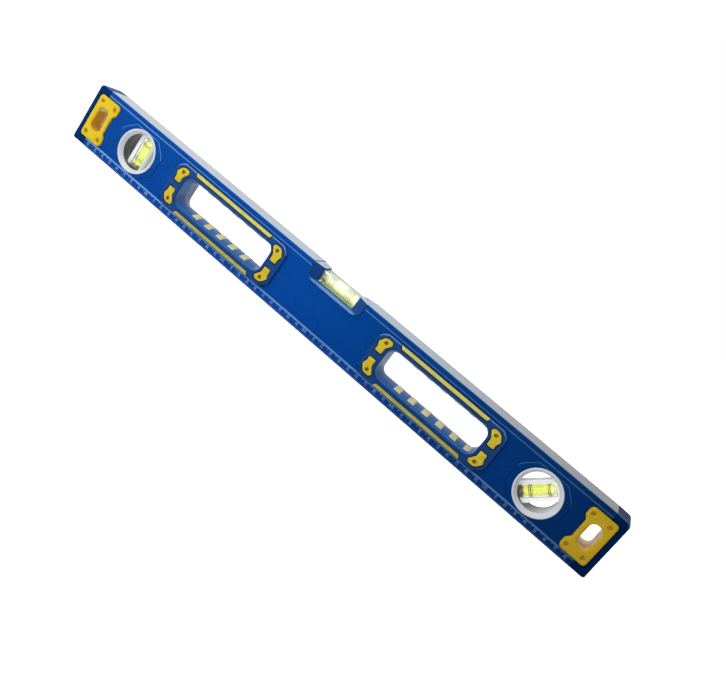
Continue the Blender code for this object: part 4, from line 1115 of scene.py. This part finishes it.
    # painted light on the finger stripes, painted shade in the screw holes and on the lower front bars
    def worn(poly):
        c = poly.center / MM
        if abs(c.x - cx) < OPENING_HALF_X and abs(c.z - MID_Z) < OPENING_HALF_Z + 1.2 and HALF_DEPTH - abs(c.y) > 1.5:
            return 1
        if abs(c.x - cx) < BAR_HALF_X + 1 and abs(c.z - MID_Z) > BAR_Z - BAR_HALF_Z - 1:
            return 3 if c.z > MID_Z or side > 0 else 4
        if any(math.hypot(c.x - x, c.z - z) < 1.9 for x, z in screws) and HALF_DEPTH - abs(c.y) > front - PAD_RAISE + 0.45:
            return 2
        return 0

    soft.done([soft_yellow, stripe_lit_yellow, soft_recess_shade, bar_yellow, bar_low], "grip_soft_%s_%s" % (side_name, face), "yellow_rubber", pick=worn)


# ---------------------------------------------------------------- round vials


def tube_axis(angle):
    w = math.radians(angle)
    return Vector((math.cos(w), 0, math.sin(w)))


def make_bezel(vial, cx, face, side):
    seam = HALF_DEPTH - JOINT_GAP / 2
    corners = [
        (BEZEL_R, -BEZEL_PROUD, 0.55), (BEZEL_R, WEB_RECESS - 0.2, 0.0), (SLEEVE_OUT_R, WEB_RECESS - 0.2, 0.0), (SLEEVE_OUT_R, seam, 0.0),
        (SLEEVE_IN_R, seam, 0.0), (SLEEVE_IN_R, CONE_DEPTH + 0.9, 0.2), (WINDOW_R, CONE_DEPTH + 0.35, 0.22), (WINDOW_R + 0.1, CONE_DEPTH - 0.1, 0.3),
        (BEZEL_R - 1.25, -BEZEL_PROUD, 0.6),
    ]

    def pick(poly):
        c = poly.center / MM
        depth = HALF_DEPTH - abs(c.y)
        radius = math.hypot(c.x - cx, c.z - VIAL_Z)
        return 1 if depth > CONE_DEPTH + 0.4 and radius < SLEEVE_IN_R + 0.3 else 0

    piece = Piece(
        "%s_vial_bezel_%s_fine" % (vial, face),
        lambda bm: lathe(bm, fillet(corners, 6), (cx, side * HALF_DEPTH, VIAL_Z), (0, -side, 0), 144, closed=True),
    )
    piece.done([bezel_grey, tunnel_shaded[vial]], "%s_vial_bezel_%s" % (vial, face), "grey_plastic", pick=pick, angle=50)


def make_round_vial(vial, cx, angle):
    axis = tube_axis(angle)
    across = Vector((-axis.z, 0, axis.x))
    centre = Vector((cx, 0, VIAL_Z))
    body = vial + "_bubble"

    def world(u, v, y):
        return centre + axis * u + across * v + Vector((0, y, 0))

    def plate(bm):
        r, hw, t = CARRIER_R, CARRIER_HALF_W, CARRIER_HALF_T
        loops = []
        for d, y in ((0.35, -t), (0.1, -t + 0.1), (0.0, -t + 0.35), (0.0, t - 0.35), (0.1, t - 0.1), (0.35, t)):
            half = hw - d
            top = math.asin(half / (r - d))
            arc = [(r - d) * Vector((math.cos(w), math.sin(w))) for w in [top * (1 - k / 12) for k in range(25)]]
            loops.append([world(u, v, y) for u, v in [(p.x, p.y) for p in arc] + [(-p.x, -p.y) for p in arc]])
        lofted(bm, loops)

    carrier = Piece(vial + "_vial_carrier_fine", plate)

    def bed(bm):
        v, low, high, t = TUBE_R + 0.08, -CARRIER_R - 3, TUBE_HIGH + 0.2, CARRIER_HALF_T
        rings = [(0.14, t + 2), (0.14, t + 0.02), (0.05, t - 0.05), (0.0, t - 0.16)]
        rings += [(g, -y) for g, y in reversed(rings)]
        corners = [(low, -v, 0), (high, -v, 1.4), (high, v, 1.4), (low, v, 0)]
        lofted(bm, [[world(u, w, y) for u, w in fillet(inset(corners, -g), 8)] for g, y in rings])

    carrier.cut(bed)

    def grooves(bm):
        # a fine channel along the outer edge of each rail, front and rear
        for s in (-1, 1):
            for face in (-1, 1):
                a, b = sorted((face * (CARRIER_HALF_T - 0.3), face * (CARRIER_HALF_T + 1)))
                v = s * (CARRIER_HALF_W - 0.75)
                pts = [(-20, v - 0.2), (20, v - 0.2), (20, v + 0.2), (-20, v + 0.2)]
                lofted(bm, [[world(u, w, a) for u, w in pts], [world(u, w, b) for u, w in pts]])

    carrier.cut(grooves)
    carrier.done(carrier_glowing[vial], vial + "_vial_carrier", "white_plastic")

    profile = [(0, TUBE_HIGH), (TUBE_R - 0.9, TUBE_HIGH), (TUBE_R - 0.42, TUBE_HIGH - 0.1), (TUBE_R - 0.1, TUBE_HIGH - 0.4), (TUBE_R, TUBE_HIGH - 0.9)]
    profile += [(TUBE_R, TUBE_LOW + 0.3), (TUBE_R - 0.3, TUBE_LOW), (TUBE_BORE_R, TUBE_LOW)]
    bore_end = TUBE_HIGH - TUBE_END
    profile += [(TUBE_BORE_R, bore_end - 1.0), (TUBE_BORE_R - 0.25, bore_end - 0.4), (TUBE_BORE_R - 0.9, bore_end - 0.05), (0, bore_end)]
    Piece(vial + "_vial_tube_fine", lambda bm: lathe(bm, profile, centre, axis, 96)).done(acrylic, vial + "_vial_tube", "clear_acrylic", angle=55)

    def plug(bm):
        r, head, hr, low, top = TUBE_BORE_R - 0.05, TUBE_LOW - 0.05, PLUG_HEAD_R, PLUG_LOW, PLUG_STEM_TOP
        lathe(
            bm,
            [(0, low + 0.4), (1.2, low + 0.4), (1.5, low + 0.1), (1.8, low), (hr - 0.6, low), (hr - 0.16, low + 0.16), (hr, low + 0.6), (hr, head - 0.2),
             (hr - 0.2, head), (r, head), (r, top - 0.2), (r - 0.2, top), (0, top)],
            centre, axis, 64,
        )

    Piece(vial + "_vial_plug_fine", plug).done(plug_grey, vial + "_vial_plug", "plug_grey")

    # the spirit meets the wall of the bore, so its surface is a hair outside it
    r, low = TUBE_BORE_R + 0.02, PLUG_STEM_TOP + 0.03
    fill = [(0, low), (r, low), (r, bore_end - 1.0), (r - 0.25, bore_end - 0.38), (r - 0.9, bore_end - 0.03), (0, bore_end + 0.02)]
    Piece(vial + "_vial_liquid_fine", lambda bm: lathe(bm, fill, centre, axis, 96)).done(liquid, vial + "_vial_liquid", "vial_liquid", angle=55)

    rest = TUBE_HIGH - TUBE_END - 0.2 - BUBBLE_HALF
    at = centre + axis * rest
    n, rr, hh = 12, BUBBLE_R + 0.5, BUBBLE_HALF
    cap_h = rr * 0.8
    dome = [(rr * math.sin(w), hh - cap_h + cap_h * math.cos(w)) for w in [math.pi / 2 * k / n for k in range(n + 1)]]
    bubble = dome + [(p[0], -p[1]) for p in reversed(dome)]
    Piece(vial + "_vial_bubble_fine", lambda bm: lathe(bm, bubble, at, axis, 64)).done(air, vial + "_vial_bubble", "air", body=body, angle=180)

    def lines(bm):
        for u in (-8.0, -6.3, 7.4, 9.1):
            lathe(bm, [(TUBE_R - 0.02, u - 0.23), (TUBE_R + 0.045, u - 0.21), (TUBE_R + 0.045, u + 0.21), (TUBE_R - 0.02, u + 0.23)], centre, axis, 96, closed=True)

    Piece(vial + "_vial_lines", lines).done(ink, slot="clear_acrylic")


# ---------------------------------------------------------------- centre vial


def scoop_outline(half_x, z0, r, top, steps=12):
    return fillet([(-half_x, z0, r), (half_x, z0, r), (half_x, top, 0), (-half_x, top, 0)], steps)


def make_centre_vial():
    def block(bm):
        corners = [
            (-POCKET_HALF_X + JOINT_GAP, POCKET_Z + JOINT_GAP, POCKET_R - 0.3), (POCKET_HALF_X - JOINT_GAP, POCKET_Z + JOINT_GAP, POCKET_R - 0.3),
            (POCKET_HALF_X - JOINT_GAP, CRADLE_Z1, 0.35), (-POCKET_HALF_X + JOINT_GAP, CRADLE_Z1, 0.35),
        ]
        loops = []
        for d, g in ((0.0, 0.4), (0.03, 0.24), (0.12, 0.1), (0.4, 0.0)):
            loops.append((g, -HALF_DEPTH + d))
        loops += [(g, -y) for g, y in reversed(loops)]
        lofted(bm, [[(u, y, v) for u, v in fillet(inset(corners, g), 12)] for g, y in loops])

    cradle = Piece("centre_vial_cradle_fine", block)

    def scoops(bm):
        top = HEIGHT + 6
        n = 8
        for side in (-1, 1):
            loops = []
            for k in range(-1, n + 1):
                # the scoop falls in a gentle S from its rim to its throat
                t = max(k, -0.4) / n
                s = t * t * (3 - 2 * t) * 0.5 + t * 0.5 if t > 0 else t
                d = -0.02 + SCOOP_DEPTH * t if k >= 0 else -0.6
                hx = SCOOP_HALF_X + (THROAT_HALF_X - SCOOP_HALF_X) * s
                z0 = SCOOP_Z + (THROAT_Z - SCOOP_Z) * s
                r = SCOOP_R + (THROAT_R - SCOOP_R) * s
                loops.append([(u, depth_y(side, d), v) for u, v in scoop_outline(hx, z0, r, top)])
            loops.append([(u, depth_y(side, SCOOP_DEPTH + 0.4), v) for u, v in scoop_outline(THROAT_HALF_X, THROAT_Z, THROAT_R, top)])
            lofted(bm, loops)

    cradle.cut(scoops)
    cradle.cut(lambda bm: box(bm, -THROAT_HALF_X + 0.3, THROAT_HALF_X - 0.3, -HALF_DEPTH - 1, HALF_DEPTH + 1, BLOCK_Z0 - 0.25, HEIGHT + 5))

    def pins(bm):
        # the small round sink on top of each shoulder
        for x in (-24.3, 24.3):
            lathe(bm, [(0, 4), (1.1, 4), (1.0, 0.05), (0.8, -0.35), (0, -0.5)], (x, 0, CRADLE_Z1), (0, 0, 1), 24)

    cradle.cut(pins)

    # painted highlight on the scoop's upward faces, fewer of them on the left half
    def pick(poly):
        n, c = poly.normal, poly.center / MM
        depth = HALF_DEPTH - abs(c.y)
        if depth < SCOOP_DEPTH + 0.2 and 0.1 < abs(n.y) < 0.98 and c.z < HEIGHT - 8 and n.z > (0.12 if c.x > 0 else 0.45) and c.x > -POCKET_HALF_X + 4:
            return 1
        return 2 if n.z > 0.9 and c.z > CRADLE_Z1 - 0.1 else 0

    cradle.done([grip_blue, scoop_highlight, cradle_top], "centre_vial_cradle", "blue_plastic", angle=30, pick=pick)

    axis = Vector((1, 0, 0))
    centre = Vector((0, 0, CENTRE_BORE_Z))
    clear = Piece("centre_vial_block_fine", lambda bm: soft_box(bm, -BLOCK_HALF_X, BLOCK_HALF_X, -BLOCK_HALF_Y, BLOCK_HALF_Y, BLOCK_Z0, BLOCK_Z1, 0.6, 4))
    clear.cut(lambda bm: cylinder(bm, centre, axis, CENTRE_BORE_R, -BLOCK_HALF_X - 5, BLOCK_HALF_X - 2.0, 96))
    clear.done(
        [acrylic, block_foot, block_top], "centre_vial_block", "clear_acrylic", angle=50,
        pick=lambda poly: 1 if poly.normal.z < -0.9 and poly.center.z < (BLOCK_Z0 + 0.1) * MM else 2 if poly.normal.z > 0.9 and poly.center.z > (BLOCK_Z1 - 0.1) * MM else 0,
    )

    def plug(bm):
        r = CENTRE_BORE_R - 0.05
        a, b = -BLOCK_HALF_X + 0.1, -BLOCK_HALF_X + CENTRE_PLUG
        lathe(bm, [(0, a + 0.3), (1.6, a + 0.3), (1.9, a), (r - 0.3, a), (r, a + 0.3), (r, b - 0.3), (r - 0.3, b), (0, b)], centre, axis, 64)

    Piece("centre_vial_plug_fine", plug).done(plug_clear, "centre_vial_plug", "plug_grey")
    x0, x1 = -BLOCK_HALF_X + CENTRE_PLUG + 0.03, BLOCK_HALF_X - 1.98
    Piece("centre_vial_liquid_fine", lambda bm: cylinder(bm, centre, axis, CENTRE_BORE_R + 0.02, x0, x1, 96)).done(pale_liquid, "centre_vial_liquid", "vial_liquid", angle=50)

    n, r, h = 12, CENTRE_BUBBLE_R, CENTRE_BUBBLE_HALF
    dome = [(r * math.sin(w), h - 1.8 * r + 1.8 * r * math.cos(w)) for w in [math.pi / 2 * k / n for k in range(n + 1)]]
    bubble = dome + [(p[0], -p[1]) for p in reversed(dome)]
    Piece("centre_vial_bubble_fine", lambda bm: lathe(bm, bubble, (0, 0, CENTRE_CHANNEL_Z), axis, 64)).done(air, "centre_vial_bubble", "air", body="centre_bubble", angle=180)

    def lines(bm):
        for u in (-13, -11, -9, -7, 7, 9, 11, 13):
            lathe(bm, [(CENTRE_BORE_R - 0.12, u - 0.14), (CENTRE_BORE_R + 0.06, u - 0.14), (CENTRE_BORE_R + 0.06, u + 0.14), (CENTRE_BORE_R - 0.12, u + 0.14)], centre, axis, 96, closed=True)

    Piece("centre_vial_lines", lines).done(ink, slot="clear_acrylic")


# ---------------------------------------------------------------- assembly

make_beam()
make_ruler()
for side_name, hand in (("left", 1), ("right", -1)):
    make_cap(side_name, hand)
    for face, side in (("front", -1), ("rear", 1)):
        make_bracket(side_name, hand, face, side)
        make_grip(side_name, hand, face, side)
    for i, (x, z) in enumerate(bracket_screws(hand)):
        make_screw("bracket_screw_%s_%d" % (side_name, i + 1), x, z, -HALF_DEPTH + 0.3, 1.9, 7.5)
    for i, (x, z) in enumerate(grip_screws(hand)):
        make_screw("grip_screw_%s_%d" % (side_name, i + 1), x, z, -HALF_DEPTH + 0.1, 1.75, 7.5)
for vial, cx, angle in (("plumb", -VIAL_X, 90), ("angle", VIAL_X, 45)):
    make_bezel(vial, cx, "front", -1)
    make_bezel(vial, cx, "rear", 1)
    make_round_vial(vial, cx, angle)
make_centre_vial()


# ---------------------------------------------------------------- stage, light and camera

floor_mat = Mat("pale_floor", Roughness=0.75)
floor_mat.shader.inputs["Specular IOR Level"].default_value = 0.1
floor_mat.colour(floor_mat.noise(400, 3.0), [(0.3, (0.88, 0.88, 0.88)), (0.7, (0.91, 0.91, 0.91))])
# the floor glows a little towards the camera, as an overexposed white table does, but doesn't light the object
glow = floor_mat.node("Emission", Color=(1, 1, 1, 1), Strength=0.8)
path = floor_mat.node("LightPath")
direct = floor_mat.node("Math")
direct.operation = "MAXIMUM"
floor_mat.tree.links.new(path.outputs["Is Camera Ray"], direct.inputs[0])
floor_mat.tree.links.new(path.outputs["Is Transmission Ray"], direct.inputs[1])
scaled = floor_mat.node("Math")
scaled.operation = "MULTIPLY"
scaled.inputs[1].default_value = 0.8
floor_mat.tree.links.new(direct.outputs[0], scaled.inputs[0])
floor_mat.tree.links.new(scaled.outputs[0], glow.inputs["Strength"])
both = floor_mat.node("AddShader")
floor_mat.tree.links.new(floor_mat.shader.outputs[0], both.inputs[0])
floor_mat.tree.links.new(glow.outputs[0], both.inputs[1])
floor_mat.tree.links.new(both.outputs[0], floor_mat.tree.nodes["Material Output"].inputs["Surface"])
floor = raw("floor", lambda bm: prism(bm, fillet([(-9000, -9000, 3000), (9000, -9000, 3000), (9000, 9000, 3000), (-9000, 9000, 3000)], 8), -20, -0.05, axis="Z"))
floor.data.materials.append(floor_mat.mat)


def area_light(name, place, aim, size, power, colour=(1, 1, 1)):
    data = bpy.data.lights.new(name, "AREA")
    data.shape, data.size, data.size_y = "RECTANGLE", size[0], size[1]
    data.energy = power
    data.color = colour
    obj = bpy.data.objects.new(name, data)
    bpy.context.scene.collection.objects.link(obj)
    obj.location = place
    obj.rotation_euler = (Vector(aim) - Vector(place)).to_track_quat("-Z", "Y").to_euler()
    obj.visible_camera = False
    return obj


key = area_light("key", (-0.62, -0.72, 0.62), (-0.14, 0, 0.03), (0.7, 0.5), 6.2)
key.visible_glossy = False
area_light("top", (-0.35, -0.1, 1.3), (-0.05, 0, 0), (1.6, 1.2), 9.0)
area_light("back", (-1.25, 1.0, 0.42), (-0.2, 0, 0.05), (1.0, 0.7), 0.7)

world = bpy.data.worlds.new("studio")
bpy.context.scene.world = world
world.use_nodes = True
tree = world.node_tree
tree.nodes.clear()
out = tree.nodes.new("ShaderNodeOutputWorld")
mix = tree.nodes.new("ShaderNodeMixShader")
seen = tree.nodes.new("ShaderNodeBackground")
seen.inputs["Color"].default_value = (1, 1, 1, 1)
seen.inputs["Strength"].default_value = 1.0
fill = tree.nodes.new("ShaderNodeBackground")
fill.inputs["Color"].default_value = (0.96, 0.98, 1.0, 1)
# a white backdrop stands behind the level, and the side that the camera looks from is dimmer
where = tree.nodes.new("ShaderNodeTexCoord")
parts = tree.nodes.new("ShaderNodeSeparateXYZ")
fade = tree.nodes.new("ShaderNodeMapRange")
fade.interpolation_type = "SMOOTHSTEP"
fade.inputs["From Min"].default_value = -0.15
fade.inputs["From Max"].default_value = 0.6
fade.inputs["To Min"].default_value = 0.26
fade.inputs["To Max"].default_value = 0.74
tree.links.new(where.outputs["Generated"], parts.inputs[0])
tree.links.new(parts.outputs[1], fade.inputs["Value"])
tree.links.new(fade.outputs["Result"], fill.inputs["Strength"])
ray = tree.nodes.new("ShaderNodeLightPath")
most = tree.nodes.new("ShaderNodeMath")
most.operation = "MAXIMUM"
tree.links.new(ray.outputs["Is Camera Ray"], most.inputs[0])
tree.links.new(ray.outputs["Is Transmission Ray"], most.inputs[1])
tree.links.new(most.outputs[0], mix.inputs[0])
tree.links.new(fill.outputs[0], mix.inputs[1])
tree.links.new(seen.outputs[0], mix.inputs[2])
tree.links.new(mix.outputs[0], out.inputs["Surface"])

data = bpy.data.cameras.new("camera")
data.sensor_fit = "HORIZONTAL"
data.sensor_width = 36.0
data.lens = 39.107
data.clip_start, data.clip_end = 0.01, 100.0
camera = bpy.data.objects.new("camera", data)
bpy.context.scene.collection.objects.link(camera)
turn = Matrix(
    (
        (0.74321639, -0.63149410, 0.22100815),
        (0.33706601, 0.06806474, -0.93901741),
        (0.57794109, 0.77238746, 0.26344202),
    )
)
camera.matrix_world = Matrix.Translation((0.189729, -0.633229, 0.207595)) @ turn.to_4x4()
bpy.context.scene.camera = camera
bpy.context.scene.view_settings.view_transform = "Standard"
bpy.context.scene.view_settings.look = "None"
